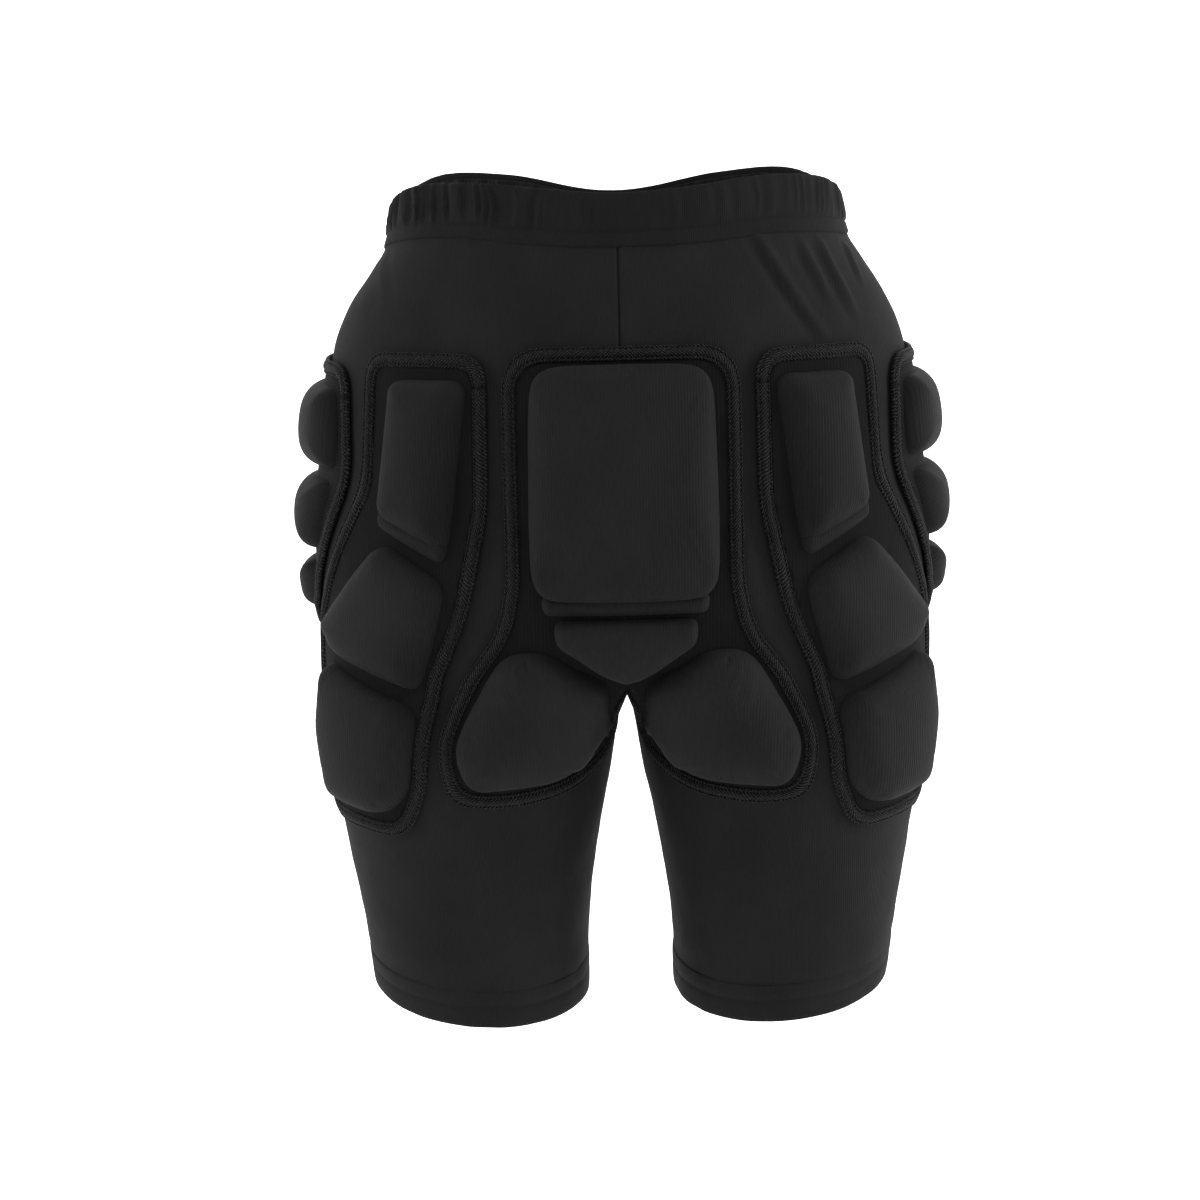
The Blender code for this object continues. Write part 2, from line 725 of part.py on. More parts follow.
def with_mirror(verts, faces):
    """The right half and its mirror image, joined on the centre line."""
    count = len(verts)
    both = list(verts) + [Vector((-v.x, v.y, v.z)) for v in verts]
    return both, list(faces) + [tuple(count + i for i in reversed(face)) for face in faces]


def snapped(verts):
    """Points meant for the centre line put exactly on it."""
    return [Vector((0.0, v.y, v.z)) if abs(v.x) < 0.3 * MM else v for v in verts]


# ---- waist
whole_ring("waistband", BAND_LEVELS, 2, BAND, "band", BAND_COLUMNS)
whole_ring("waist_elastic", ELASTIC_LEVELS, 1, ELASTIC, "elastic", BAND_COLUMNS)

# ---- fabric of the seat, front, legs and crotch
BELOW_BAND = BAND_LEVELS[1] + JOIN_GAP


def below_band(share):
    return BELOW_BAND


def below_seat(share):
    return edge_level(share) + JOIN_GAP


def above_leg(share):
    return LEG_TOP - JOIN_GAP


right_pieces = {}
rear_shares = [SIDE_SEAM * c / QUARTER_COLUMNS for c in range(QUARTER_COLUMNS + 1)]
rear_shares[-1] -= SEAM_SHARE
front_shares = [SIDE_SEAM + SIDE_SEAM * c / QUARTER_COLUMNS for c in range(QUARTER_COLUMNS + 1)]
front_shares[0] += SEAM_SHARE
all_shares = [c / (2 * QUARTER_COLUMNS) for c in range(2 * QUARTER_COLUMNS + 1)]
right_pieces["seat_fabric"] = torso_patch(
    "seat_fabric_right", rear_shares, below_band, edge_level, SEAT_ROWS, FABRIC, (0.0,)
)
right_pieces["front_fabric"] = torso_patch(
    "front_fabric_right", front_shares, below_band, edge_level, FRONT_ROWS, FABRIC, (1.0,)
)
right_pieces["hip_stretch_band"] = torso_patch(
    "hip_stretch_band_right", all_shares, below_seat, above_leg, STRETCH_ROWS, FABRIC, ()
)
right_pieces["leg_fabric"] = leg_ring(
    "leg_fabric_right", (LEG_TOP, HEM_TOP - JOIN_GAP), LEG_ROWS, FABRIC, "knit", LEG_COLUMNS
)
right_pieces["leg_hem"] = leg_ring("leg_hem_right", (HEM_TOP, HEM_EDGE), 1, HEM, "knit", LEG_COLUMNS)
gusset("crotch_gusset", GUSSET_COLUMNS, GUSSET_ROWS, FABRIC)

# ---- seat panel with its binding, one piece across the centre
tail_outline = rounded(TAIL_EDGE, TAIL_RADIUS, 0.0, False, TAIL_ARC_STEPS, TAIL_EDGE_STEP)
tape_inner = rounded(TAIL_EDGE, TAIL_RADIUS, BINDING_WIDTH, False, TAIL_ARC_STEPS, TAIL_EDGE_STEP)
tape_inner[-1] = (TAIL_EDGE[-1][0] + BINDING_WIDTH, CROTCH_LEVEL)
tail_inner = rounded(TAIL_EDGE, TAIL_RADIUS, BINDING_WIDTH + BINDING_JOIN, False, TAIL_ARC_STEPS, TAIL_EDGE_STEP)
tail_inner[-1] = (TAIL_EDGE[-1][0] + BINDING_WIDTH + TAIL_END_JOIN, CROTCH_LEVEL)
centre_top = tail_inner[0, 1]
centre_line = [(0.0, CROTCH_LEVEL + (centre_top - CROTCH_LEVEL) * k / CENTRE_STEPS) for k in range(CENTRE_STEPS)]
tail_half = np.concatenate([tail_inner, np.array(centre_line)])


def off_centre(p, q):
    def central(point):
        return abs(point[0]) < 1e-6 or (point[1] <= CROTCH_LEVEL + 1e-6 and point[0] <= 1e-6)

    return not (central(p) and central(q))


verts, faces = sheet(tail_half, TAIL_LAYER, TAIL_SPACING, off_centre)
add("tail_panel", *with_mirror(snapped(verts), faces), "panel")
verts, faces = tape(tail_outline, tape_inner, BINDING, False)
add("tail_binding", *with_mirror(snapped(verts), faces), "tape")

# ---- thigh and hip panels with their bindings
for name, edge in (("thigh", THIGH_EDGE), ("hip", HIP_EDGE)):
    outline = rounded(edge, PANEL_RADIUS)
    verts, faces = tape(outline, rounded(edge, PANEL_RADIUS, BINDING_WIDTH), BINDING, True)
    right_pieces[name + "_binding"] = add(name + "_binding_right", verts, faces, "tape")
    inner = rounded(edge, PANEL_RADIUS, BINDING_WIDTH + BINDING_JOIN)
    verts, faces = sheet(inner, PANEL, PANEL_SPACING)
    right_pieces[name + "_panel"] = add(name + "_panel_right", verts, faces, "panel")

# ---- raised pads and the foam inside them
for name, corners, radius, height, paired in PADS:
    tag = "_right" if paired else ""
    cover = pad_cover(name + "_pad" + tag, corners, radius, height)
    core = pad_core(name + "_foam" + tag, corners, radius, height)
    if paired:
        right_pieces[name + "_pad"] = cover
        right_pieces[name + "_foam"] = core

left_pieces = {key: mirror(piece, key + "_left") for key, piece in right_pieces.items()}

# ---- the legs turn about a line across both hips
LEG_KEYS = (
    "leg_fabric", "leg_hem", "sit_pad", "sit_foam",
    "thigh_middle_pad", "thigh_middle_foam", "thigh_lower_pad", "thigh_lower_foam",
)
for tag, pieces, side in (("right", right_pieces, 1.0), ("left", left_pieces, -1.0)):
    hinge = bpy.data.objects.new("leg_" + tag + "_hinge", None)
    hinge.location = (side * HINGE_SIDE, 0.0, HINGE_HEIGHT)
    bpy.context.scene.collection.objects.link(hinge)
    bpy.context.view_layer.update()
    for key in LEG_KEYS:
        pieces[key].parent = hinge
        pieces[key].matrix_parent_inverse = hinge.matrix_world.inverted()
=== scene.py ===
"""Looks of the padded impact shorts: knit fabric, taped panels, moulded pads, elastic waist.

Metres. +X is the wearer's right, +Y the wearer's front, +Z up. Positions on the shorts are
(arc, level): arc round the body from the centre-back line, level down from the top of the waist.
"""

import math

import bmesh
import bpy
import numpy as np
from mathutils import Matrix, Vector
from mathutils.geometry import delaunay_2d_cdt


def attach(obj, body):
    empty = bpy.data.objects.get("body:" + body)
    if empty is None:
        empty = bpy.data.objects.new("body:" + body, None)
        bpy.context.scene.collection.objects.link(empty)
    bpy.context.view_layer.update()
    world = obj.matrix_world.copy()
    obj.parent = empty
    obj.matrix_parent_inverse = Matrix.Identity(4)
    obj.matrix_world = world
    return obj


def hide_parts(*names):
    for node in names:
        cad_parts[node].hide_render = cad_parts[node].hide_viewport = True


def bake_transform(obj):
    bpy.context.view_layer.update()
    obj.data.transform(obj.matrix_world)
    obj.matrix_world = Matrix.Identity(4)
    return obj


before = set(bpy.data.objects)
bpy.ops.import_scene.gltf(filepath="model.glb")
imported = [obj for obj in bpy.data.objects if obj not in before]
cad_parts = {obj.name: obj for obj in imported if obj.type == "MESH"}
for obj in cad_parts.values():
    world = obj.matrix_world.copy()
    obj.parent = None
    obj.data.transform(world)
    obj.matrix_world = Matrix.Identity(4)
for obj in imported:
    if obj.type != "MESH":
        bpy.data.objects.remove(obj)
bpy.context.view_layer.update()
MM = 0.001

# ---- body form: (level, half width, rear depth, front depth, squareness)
TORSO = [
    (0.000, 0.1190, 0.0880, 0.0920, 2.15),
    (0.030, 0.1240, 0.0905, 0.0950, 2.15),
    (0.042, 0.1310, 0.0930, 0.0970, 2.18),
    (0.060, 0.1425, 0.0970, 0.1000, 2.20),
    (0.085, 0.1530, 0.1035, 0.1030, 2.25),
    (0.120, 0.1585, 0.1120, 0.1050, 2.30),
    (0.160, 0.1625, 0.1190, 0.1050, 2.35),
    (0.200, 0.1645, 0.1225, 0.1035, 2.40),
    (0.235, 0.1635, 0.1165, 0.0975, 2.45),
]
# ---- leg form: (level, centre x, centre y, half width, half depth, squareness)
LEG = [
    (0.290, 0.0825, -0.0110, 0.0780, 0.0960, 2.25),
    (0.320, 0.0845, -0.0080, 0.0750, 0.0890, 2.20),
    (0.360, 0.0860, -0.0050, 0.0685, 0.0815, 2.15),
    (0.400, 0.0856, -0.0020, 0.0629, 0.0750, 2.10),
    (0.441, 0.0835, 0.0000, 0.0590, 0.0690, 2.05),
]
CROTCH_LEVEL = 0.262
SEAM_REAR = (-0.101, -0.252)
SEAM_LOW = (-0.010, -0.270)
SEAM_FRONT = (0.080, -0.250)
CROTCH_SMOOTHING = 0.14
LEG_CORNER = math.radians(48)
HEM_RISE_X = 0.08
HEM_RISE_Y = 0.11
OUTER_COLUMNS = 161
INNER_COLUMNS = 41
HALF_INNER = INNER_COLUMNS // 2
ROW_STEP = 2.5 * MM
REFERENCE_X = 0.060

# ---- heights above the body form
PANEL_TOP = 2.5 * MM
PANEL_BOTTOM = 1.5 * MM
PAD_FOOT = 2.4 * MM
FABRIC_THICKNESS = 1.4 * MM

# ---- levels of the edges
BAND_EDGE = 0.030
GUSSET_EDGE = 0.284
HEM_EDGE = 0.441

# ---- moulded panels: outer edge of the binding tape, (arc, level)
TAPE_WIDTH = 7.5 * MM
PANEL_TUCK = 6.0 * MM
PANEL_RADIUS = 0.016
TAIL_RADIUS = 0.024
TAIL_EDGE = [
    (0.0, 0.080), (0.0610, 0.080), (0.0605, 0.200), (0.0665, 0.224),
    (0.0895, 0.256), (0.1015, 0.285), (0.0960, 0.315), (0.070, 0.3175), (0.030, 0.314),
    (-0.004, 0.303), (-0.020, 0.288), (-0.018, 0.262),
]
THIGH_EDGE = [
    (0.0685, 0.083), (0.140, 0.083), (0.143, 0.150), (0.172, 0.190), (0.194, 0.225),
    (0.204, 0.280), (0.188, 0.335), (0.118, 0.335), (0.1070, 0.308), (0.1050, 0.285),
    (0.0965, 0.252), (0.0800, 0.212), (0.0685, 0.160),
]
HIP_EDGE = [
    (0.156, 0.091), (0.274, 0.091), (0.279, 0.165), (0.266, 0.228), (0.222, 0.240),
    (0.186, 0.194), (0.153, 0.150),
]

# ---- raised pads
TAIL_PAD = [(-0.0460, 0.090), (0.0460, 0.090), (0.0475, 0.206), (-0.0475, 0.206)]
COCCYX_PAD = [(-0.0365, 0.2160), (0.0365, 0.2160), (0.0365, 0.2275), (0.0, 0.2520), (-0.0365, 0.2275)]
SIT_PAD = [
    (0.0115, 0.2560), (0.0400, 0.2330), (0.0620, 0.2340), (0.0820, 0.2635), (0.0925, 0.2870),
    (0.0862, 0.3064), (0.042, 0.3052), (0.0200, 0.2995), (0.0105, 0.2800),
]
UPPER_PAD = [(0.0785, 0.0965), (0.1215, 0.0965), (0.1310, 0.1660), (0.0905, 0.1835)]
MIDDLE_PAD = [(0.1290, 0.1785), (0.0920, 0.1990), (0.1075, 0.2570), (0.1640, 0.2430), (0.1795, 0.2260)]
LOWER_PAD = [
    (0.1770, 0.2460), (0.1100, 0.2645), (0.1165, 0.3100), (0.1300, 0.3230), (0.1750, 0.3215),
    (0.1880, 0.2830),
]
HIP_UPPER_PAD = [(0.1680, 0.1040), (0.2620, 0.1040), (0.2660, 0.1475), (0.1660, 0.1455)]
HIP_MIDDLE_PAD = [(0.1715, 0.1525), (0.2660, 0.1545), (0.2640, 0.1940), (0.2000, 0.1910)]
HIP_LOWER_PAD = [(0.2080, 0.1980), (0.2620, 0.2000), (0.2565, 0.2225), (0.2270, 0.2290)]


# ---- form ------------------------------------------------------------------------------------
def power(value, squareness):
    return np.sign(value) * np.abs(value) ** (2.0 / squareness)


def unit(vectors):
    return vectors / np.maximum(np.linalg.norm(vectors, axis=-1, keepdims=True), 1e-12)


def torso_ring(row, share):
    level, width, rear, front, squareness = row
    along = np.cos(math.pi * share)
    across = np.sin(math.pi * share)
    depth = np.where(along > 0, -rear, -front)
    return np.stack(
        [width * power(across, squareness), depth * power(along, squareness), np.full_like(share, -level)], -1
    )


def leg_ring(row, angle):
    level, cx, cy, half_width, half_depth, squareness = row
    x = cx + half_width * power(np.cos(angle), squareness)
    y = cy + half_depth * power(np.sin(angle), squareness)
    tilt = (level - LEG[0][0]) / (LEG[-1][0] - LEG[0][0])
    return np.stack([x, y, -level + tilt * (HEM_RISE_X * (x - cx) + HEM_RISE_Y * (y - cy))], -1)


def seam_line(share):
    """Centre seam under the crotch, from the rear corner to the front corner."""
    k = np.abs(1.0 - 2.0 * share)
    end_y = np.where(share < 0.5, SEAM_REAR[0], SEAM_FRONT[0])
    end_z = np.where(share < 0.5, SEAM_REAR[1], SEAM_FRONT[1])
    y = SEAM_LOW[0] + (end_y - SEAM_LOW[0]) * k
    z = SEAM_LOW[1] + (end_z - SEAM_LOW[1]) * k**3
    return np.stack([np.zeros_like(share), y, z], -1)


def crotch_ring(share):
    angle = (math.pi - LEG_CORNER) * (2.0 * share - 1.0)
    middle = 0.5 * torso_ring(TORSO[-1], share) + 0.5 * leg_ring(LEG[0], angle)
    near = np.maximum(0.0, 1.0 - np.minimum(share, 1.0 - share) / CROTCH_SMOOTHING) ** 2
    ends = seam_line(np.where(share < 0.5, 0.0, 1.0))
    return middle * (1.0 - near[:, None]) + ends * near[:, None]


def through(knots, rings, level):
    """Smooth curve through the key rings, at one level."""
    k = min(max(int(np.searchsorted(knots, level, side="right")) - 1, 1), len(knots) - 3)
    span = knots[k + 1] - knots[k]
    lead = (rings[k + 1] - rings[k - 1]) / (knots[k + 1] - knots[k - 1]) * span
    tail = (rings[k + 2] - rings[k]) / (knots[k + 2] - knots[k]) * span
    u = (level - knots[k]) / span
    return (
        (2 * u**3 - 3 * u**2 + 1) * rings[k]
        + (u**3 - 2 * u**2 + u) * lead
        + (3 * u**2 - 2 * u**3) * rings[k + 1]
        + (u**3 - u**2) * tail
    )


def padded_ends(values):
    return [2 * values[0] - values[1]] + list(values) + [2 * values[-1] - values[-2]]


def build_form():
    """Rows of points over the right half: outer columns, and inner-thigh columns on leg rows."""
    upper = int(round(CROTCH_LEVEL / ROW_STEP))
    lower = int(round((HEM_EDGE - CROTCH_LEVEL) / ROW_STEP))
    rows = np.concatenate([
        np.linspace(0, CROTCH_LEVEL, upper + 1), np.linspace(CROTCH_LEVEL, HEM_EDGE, lower + 1)[1:]
    ])
    levels = [row[0] for row in TORSO] + [CROTCH_LEVEL] + [row[0] for row in LEG]
    share = np.linspace(0, 1, OUTER_COLUMNS)
    angle = (math.pi - LEG_CORNER) * (2.0 * share - 1.0)
    keys = [torso_ring(row, share) for row in TORSO] + [crotch_ring(share)]
    keys += [leg_ring(row, angle) for row in LEG]
    knots = np.array(padded_ends(levels))
    rings = np.array(padded_ends(keys))
    outer = np.array([through(knots, rings, level) for level in rows])
    outer[:upper + 1, :, 0] = np.maximum(outer[:upper + 1, :, 0], 0.0)
    outer[:upper + 1, (0, -1), 0] = 0.0
    share = np.linspace(0, 1, INNER_COLUMNS)
    angle = math.pi + LEG_CORNER - 2 * LEG_CORNER * share
    keys = [seam_line(share)] + [leg_ring(row, angle) for row in LEG]
    rings = np.array([keys[1] * np.array((-1.0, 1.0, 1.0))] + keys + [2 * keys[-1] - keys[-2]])
    knots = np.array(padded_ends(levels[len(TORSO):]))
    inner = np.array([through(knots, rings, level) for level in rows[upper:]])
    return rows, upper, outer, inner


ROWS, FIRST_LEG, OUTER, INNER = build_form()
FLIP = np.array((-1.0, 1.0, 1.0))


def build_rings():
    """Per row: points from the inner thigh round the rear, hip and front, and their normals."""
    down = np.gradient(OUTER, axis=0)
    under = np.gradient(INNER, axis=0)
    under[0] = INNER[1] - INNER[1] * FLIP
    rings, normals = [], []
    for r in range(len(ROWS)):
        if r < FIRST_LEG:
            line, fall = OUTER[r], down[r]
            ends = np.concatenate([line[1:2] * FLIP, line, line[-2:-1] * FLIP])
        else:
            k = r - FIRST_LEG
            rear, front = slice(HALF_INNER, 0, -1), slice(INNER_COLUMNS - 2, HALF_INNER - 1, -1)
            line = np.concatenate([INNER[k][rear], OUTER[r], INNER[k][front]])
            fall = np.concatenate([under[k][rear], down[r], under[k][front]])
            ends = np.concatenate([line[-2:-1], line, line[1:2]])
        normal = unit(np.cross(fall, ends[2:] - ends[:-2]))
        if r == FIRST_LEG:
            normal[:HALF_INNER + 1, 0] = 0.0
            normal[HALF_INNER + OUTER_COLUMNS - 1:, 0] = 0.0
            normal = unit(normal)
        rings.append(line)
        normals.append(normal)
    return rings, normals


RINGS, NORMALS = build_rings()


def build_arcs():
    """Arc length round each ring, zero on the centre-back line."""
    arcs = []
    held = 0.0
    for r, line in enumerate(RINGS):
        length = np.concatenate([[0.0], np.cumsum(np.linalg.norm(np.diff(line, axis=0), axis=1))])
        offset = 0 if r < FIRST_LEG else HALF_INNER
        rear = line[offset:offset + OUTER_COLUMNS // 2, 0]
        k = offset + int(np.argmax(rear > REFERENCE_X))
        part = (REFERENCE_X - line[k - 1, 0]) / (line[k, 0] - line[k - 1, 0])
        at = length[k - 1] + part * (length[k] - length[k - 1])
        if r <= FIRST_LEG:
            held = at - length[offset]
        arcs.append(length - at + held)
    return arcs


ARCS = build_arcs()


def place(spots, heights):
    """Points at heights above the form; a negative arc on the torso is the left half."""
    spots = np.asarray(spots, float)
    heights = np.broadcast_to(heights, len(spots))
    rows = np.clip(np.searchsorted(ROWS, spots[:, 1], side="right") - 1, 0, len(ROWS) - 2)
    part = np.clip((spots[:, 1] - ROWS[rows]) / (ROWS[rows + 1] - ROWS[rows]), 0.0, 1.0)[:, None]
    mirrored = (spots[:, 0] < 0) & (spots[:, 1] < CROTCH_LEVEL)
    size = np.where(mirrored, np.abs(spots[:, 0]), spots[:, 0])
    sampled = np.zeros((2, len(spots), 6))
    for r in np.unique(rows):
        here = rows == r
        for step in (0, 1):
            table = np.concatenate([RINGS[r + step], NORMALS[r + step]], axis=1)
            for axis in range(6):
                sampled[step, here, axis] = np.interp(size[here], ARCS[r + step], table[:, axis])
    mixed = sampled[0] * (1 - part) + sampled[1] * part
    out = mixed[:, :3] + unit(mixed[:, 3:]) * heights[:, None]
    out[mirrored, 0] *= -1
    return out


# ---- repeatable noise ------------------------------------------------------------------------
def corner_value(ix, iy, seed):
    n = (ix * 374761393 + iy * 668265263 + seed * 144269504) & 0x7FFFFFFF
    n = ((n ^ (n >> 13)) * 1274126177) & 0x7FFFFFFF
    return ((n ^ (n >> 16)) & 0xFFFF) / 65535.0


def noise(x, y, seed):
    """Smooth values from -1 to 1."""
    ix, iy = np.floor(x).astype(np.int64), np.floor(y).astype(np.int64)
    u, v = x - ix, y - iy
    u, v = u * u * (3 - 2 * u), v * v * (3 - 2 * v)
    low = corner_value(ix, iy, seed) * (1 - u) + corner_value(ix + 1, iy, seed) * u
    high = corner_value(ix, iy + 1, seed) * (1 - u) + corner_value(ix + 1, iy + 1, seed) * u
    return 2 * (low * (1 - v) + high * v) - 1


def ramp(value, low, high):
    t = np.clip((value - low) / (high - low), 0.0, 1.0)
    return t * t * (3 - 2 * t)


# ---- outlines --------------------------------------------------------------------------------
def moved_in(corners, distance, closed):
    """Corners of the outline moved inward, each edge by the same distance."""
    points = [np.array(corner) for corner in corners]
    total = len(points)
    loop = points + points[:1]
    area = sum(p[0] * q[1] - q[0] * p[1] for p, q in zip(loop, loop[1:]))
    turn = 1.0 if area > 0 else -1.0
    lines = []
    for p, q in zip(loop, loop[1:]):
        along = unit(q - p)
        lines.append((p + distance * turn * np.array((-along[1], along[0])), along))
    moved = []
    for i in range(total):
        if not closed and i == 0:
            moved.append(lines[0][0])
            continue
        if not closed and i == total - 1:
            moved.append(lines[i - 1][0] + points[i] - points[i - 1])
            continue
        (p, d), (q, e) = lines[i - 1], lines[i]
        across = d[0] * e[1] - d[1] * e[0]
        step = ((q[0] - p[0]) * e[1] - (q[1] - p[1]) * e[0]) / across
        moved.append(p + d * step)
    return moved


def rounded(corners, radius, inset=0.0, closed=True, arc_steps=9, edge_step=2.5 * MM):
    """Outline through the corners with rounded turns, moved inward by the inset."""
    total = len(corners)
    outer = [np.array(corner) for corner in corners]
    moved = moved_in(corners, inset, closed) if inset else outer
    turn_radius = max(radius - inset, 1.5 * MM)
    arcs = []
    for i in range(total):
        here = moved[i]
        if not closed and i in (0, total - 1):
            arcs.append([here])
            continue
        before, after = moved[i - 1] - here, moved[(i + 1) % total] - here
        reach = min(turn_radius, 0.46 * np.linalg.norm(before), 0.46 * np.linalg.norm(after))
        start, end = here + unit(before) * reach, here + unit(after) * reach
        shares = [k / arc_steps for k in range(arc_steps + 1)]
        arcs.append([start * (1 - u) ** 2 + here * 2 * u * (1 - u) + end * u**2 for u in shares])
    path = []
    for i in range(total):
        path.extend(arcs[i])
        if not closed and i == total - 1:
            break
        following = arcs[(i + 1) % total][0]
        length = np.linalg.norm(outer[(i + 1) % total] - outer[i])
        extra = int(max(0.0, length - 1.3 * radius) / edge_step)
        for k in range(extra):
            path.append(arcs[i][-1] + (following - arcs[i][-1]) * (k + 1) / (extra + 1))
    return np.array(path)


def edge_distance(points, outline):
    """Distance to the outline, positive inside."""
    points = np.asarray(points, float)
    best = np.full(len(points), 1e9)
    hits = np.zeros(len(points), bool)
    for a, b in zip(outline, np.roll(outline, -1, axis=0)):
        along = b - a
        size = along @ along
        if size < 1e-14:
            continue
        t = np.clip(((points - a) @ along) / size, 0, 1)
        gap = np.linalg.norm(points - a - t[:, None] * along, axis=1)
        best = np.minimum(best, gap)
        crossing = (a[1] > points[:, 1]) != (b[1] > points[:, 1])
        if abs(along[1]) > 1e-12:
            hits ^= crossing & (points[:, 0] < a[0] + (points[:, 1] - a[1]) / along[1] * along[0])
    return np.where(hits, best, -best)


def spread(outline, spacing, clear):
    """Even points inside an outline."""
    low, high = outline.min(axis=0), outline.max(axis=0)
    columns = np.arange(low[0], high[0], spacing)
    lines = np.arange(low[1] + spacing / 2, high[1], spacing * 0.866)
    grid = np.array([(a + (spacing / 2 if i % 2 else 0.0), b) for i, b in enumerate(lines) for a in columns])
    return grid[edge_distance(grid, outline) > clear]


def joined_up(outline, extra):
    """Triangles over the points inside an outline; the outline's points come first."""
    points = np.concatenate([outline, extra])
    count = len(outline)
    edges = [(i, (i + 1) % count) for i in range(count)]
    found = delaunay_2d_cdt([Vector(p) for p in points], edges, [], 1, 1e-7)
    slots = [origin[0] for origin in found[3]]
    return points, np.array([[slots[i] for i in face] for face in found[2] if len(face) == 3])


# ---- meshes ----------------------------------------------------------------------------------
def build(name, verts, faces, uv, looks, kinds=None):
    """Mesh object with smooth shading; uv holds one pair per vertex, in metres on the cloth."""
    mesh = bpy.data.meshes.new(name)
    mesh.from_pydata([tuple(v) for v in verts], [], [tuple(int(i) for i in f) for f in faces])
    for look in looks:
        mesh.materials.append(look)
    if kinds is not None:
        mesh.polygons.foreach_set("material_index", np.asarray(kinds, np.int32))
    layer = mesh.uv_layers.new(name="UVMap")
    corners = np.zeros(len(mesh.loops), np.int32)
    mesh.loops.foreach_get("vertex_index", corners)
    layer.data.foreach_set("uv", np.asarray(uv, np.float32)[corners].ravel())
    mesh.polygons.foreach_set("use_smooth", np.ones(len(mesh.polygons), bool))
    mesh.update()
    mesh.validate()
    made = bpy.data.objects.new(name, mesh)
    bpy.context.scene.collection.objects.link(made)
    return made


def outward(faces, verts, centre_normal):
    """Faces turned so that they look the way of the given normals."""
    faces = np.asarray(faces)
    a, b, c = (verts[faces[:, k]] for k in range(3))
    facing = np.einsum("ij,ij->i", np.cross(b - a, c - a), centre_normal[faces[:, 0]])
    faces = faces.copy()
    faces[facing < 0] = faces[facing < 0][:, ::-1]
    return faces


def grid_faces(rows, cols, wrap):
    steps = cols if wrap else cols - 1
    r, c = np.meshgrid(np.arange(rows - 1), np.arange(steps), indexing="ij")
    a, b = (r * cols + c).ravel(), (r * cols + (c + 1) % cols).ravel()
    return np.stack([a, b, b + cols, a + cols], 1)


def thickened(outer, inner, faces, uv):
    """Closed sheet from an outer and an inner layer that share their faces."""
    count = len(outer)
    faces = [tuple(int(i) for i in f) for f in faces]
    used = {}
    for f in faces:
        for a, b in zip(f, f[1:] + f[:1]):
            used[(a, b)] = True
    rim = [(a, b) for a, b in used if (b, a) not in used]
    both = faces + [tuple(count + i for i in reversed(f)) for f in faces]
    both += [(b, a, count + a, count + b) for a, b in rim]
    return np.concatenate([outer, inner]), both, np.concatenate([uv, uv])


def on_side(side, verts, faces):
    """Geometry of the right half, or its mirror image on the left."""
    if side > 0:
        return verts, faces
    return np.asarray(verts) * FLIP, [tuple(reversed([int(i) for i in f])) for f in faces]


# ---- looks -----------------------------------------------------------------------------------
def plain_look(name, colour, roughness, sheen):
    look = bpy.data.materials.new(name)
    look.use_nodes = True
    shader = look.node_tree.nodes["Principled BSDF"]
    shader.inputs["Base Color"].default_value = (*colour, 1.0)
    shader.inputs["Roughness"].default_value = roughness
    shader.inputs["Sheen Weight"].default_value = sheen
    shader.inputs["Sheen Roughness"].default_value = 0.5
    shader.inputs["Sheen Tint"].default_value = (0.75, 0.75, 0.78, 1.0)
    shader.inputs["Specular IOR Level"].default_value = 0.07
    return look, look.node_tree, shader


def along_cloth(tree, period_across, period_along, turn=0.0):
    """Cloth coordinates in metres, divided by the two periods."""
    uv = tree.nodes.new("ShaderNodeUVMap")
    uv.uv_map = "UVMap"
    spin = tree.nodes.new("ShaderNodeMapping")
    spin.inputs["Rotation"].default_value = (0.0, 0.0, turn)
    tree.links.new(uv.outputs["UV"], spin.inputs["Vector"])
    scale = tree.nodes.new("ShaderNodeMapping")
    scale.inputs["Scale"].default_value = (1.0 / period_across, 1.0 / period_along, 1.0)
    tree.links.new(spin.outputs["Vector"], scale.inputs["Vector"])
    return scale.outputs["Vector"]


def grain(tree, vector, detail=2.0):
    made = tree.nodes.new("ShaderNodeTexNoise")
    made.inputs["Scale"].default_value = 1.0
    made.inputs["Detail"].default_value = detail
    tree.links.new(vector, made.inputs["Vector"])
    return made.outputs["Fac"]


WAVE_PERIOD = math.pi / 10


def ribs(tree, vector, waver):
    made = tree.nodes.new("ShaderNodeTexWave")
    made.inputs["Scale"].default_value = WAVE_PERIOD
    made.inputs["Distortion"].default_value = waver
    made.inputs["Detail"].default_value = 1.0
    made.inputs["Detail Scale"].default_value = 1.5
    tree.links.new(vector, made.inputs["Vector"])
    return made.outputs["Fac"]


def sum_of(tree, a, b, share):
    made = tree.nodes.new("ShaderNodeMath")
    made.operation = "MULTIPLY_ADD"
    tree.links.new(b, made.inputs[0])
    made.inputs[1].default_value = share
    tree.links.new(a, made.inputs[2])
    return made.outputs["Value"]


def ranged(tree, value, low, high, to_low, to_high):
    made = tree.nodes.new("ShaderNodeMapRange")
    made.inputs["From Min"].default_value = low
    made.inputs["From Max"].default_value = high
    made.inputs["To Min"].default_value = to_low
    made.inputs["To Max"].default_value = to_high
    tree.links.new(value, made.inputs["Value"])
    return made.outputs["Result"]


def tinted(tree, shader, factor, dark, light):
    made = tree.nodes.new("ShaderNodeMix")
    made.data_type = "RGBA"
    made.inputs["A"].default_value = (*dark, 1.0)
    made.inputs["B"].default_value = (*light, 1.0)
    tree.links.new(factor, made.inputs["Factor"])
    tree.links.new(made.outputs["Result"], shader.inputs["Base Color"])


def bumped(tree, shader, height, distance):
    made = tree.nodes.new("ShaderNodeBump")
    made.inputs["Strength"].default_value = 1.0
    made.inputs["Distance"].default_value = distance
    tree.links.new(height, made.inputs["Height"])
    tree.links.new(made.outputs["Normal"], shader.inputs["Normal"])


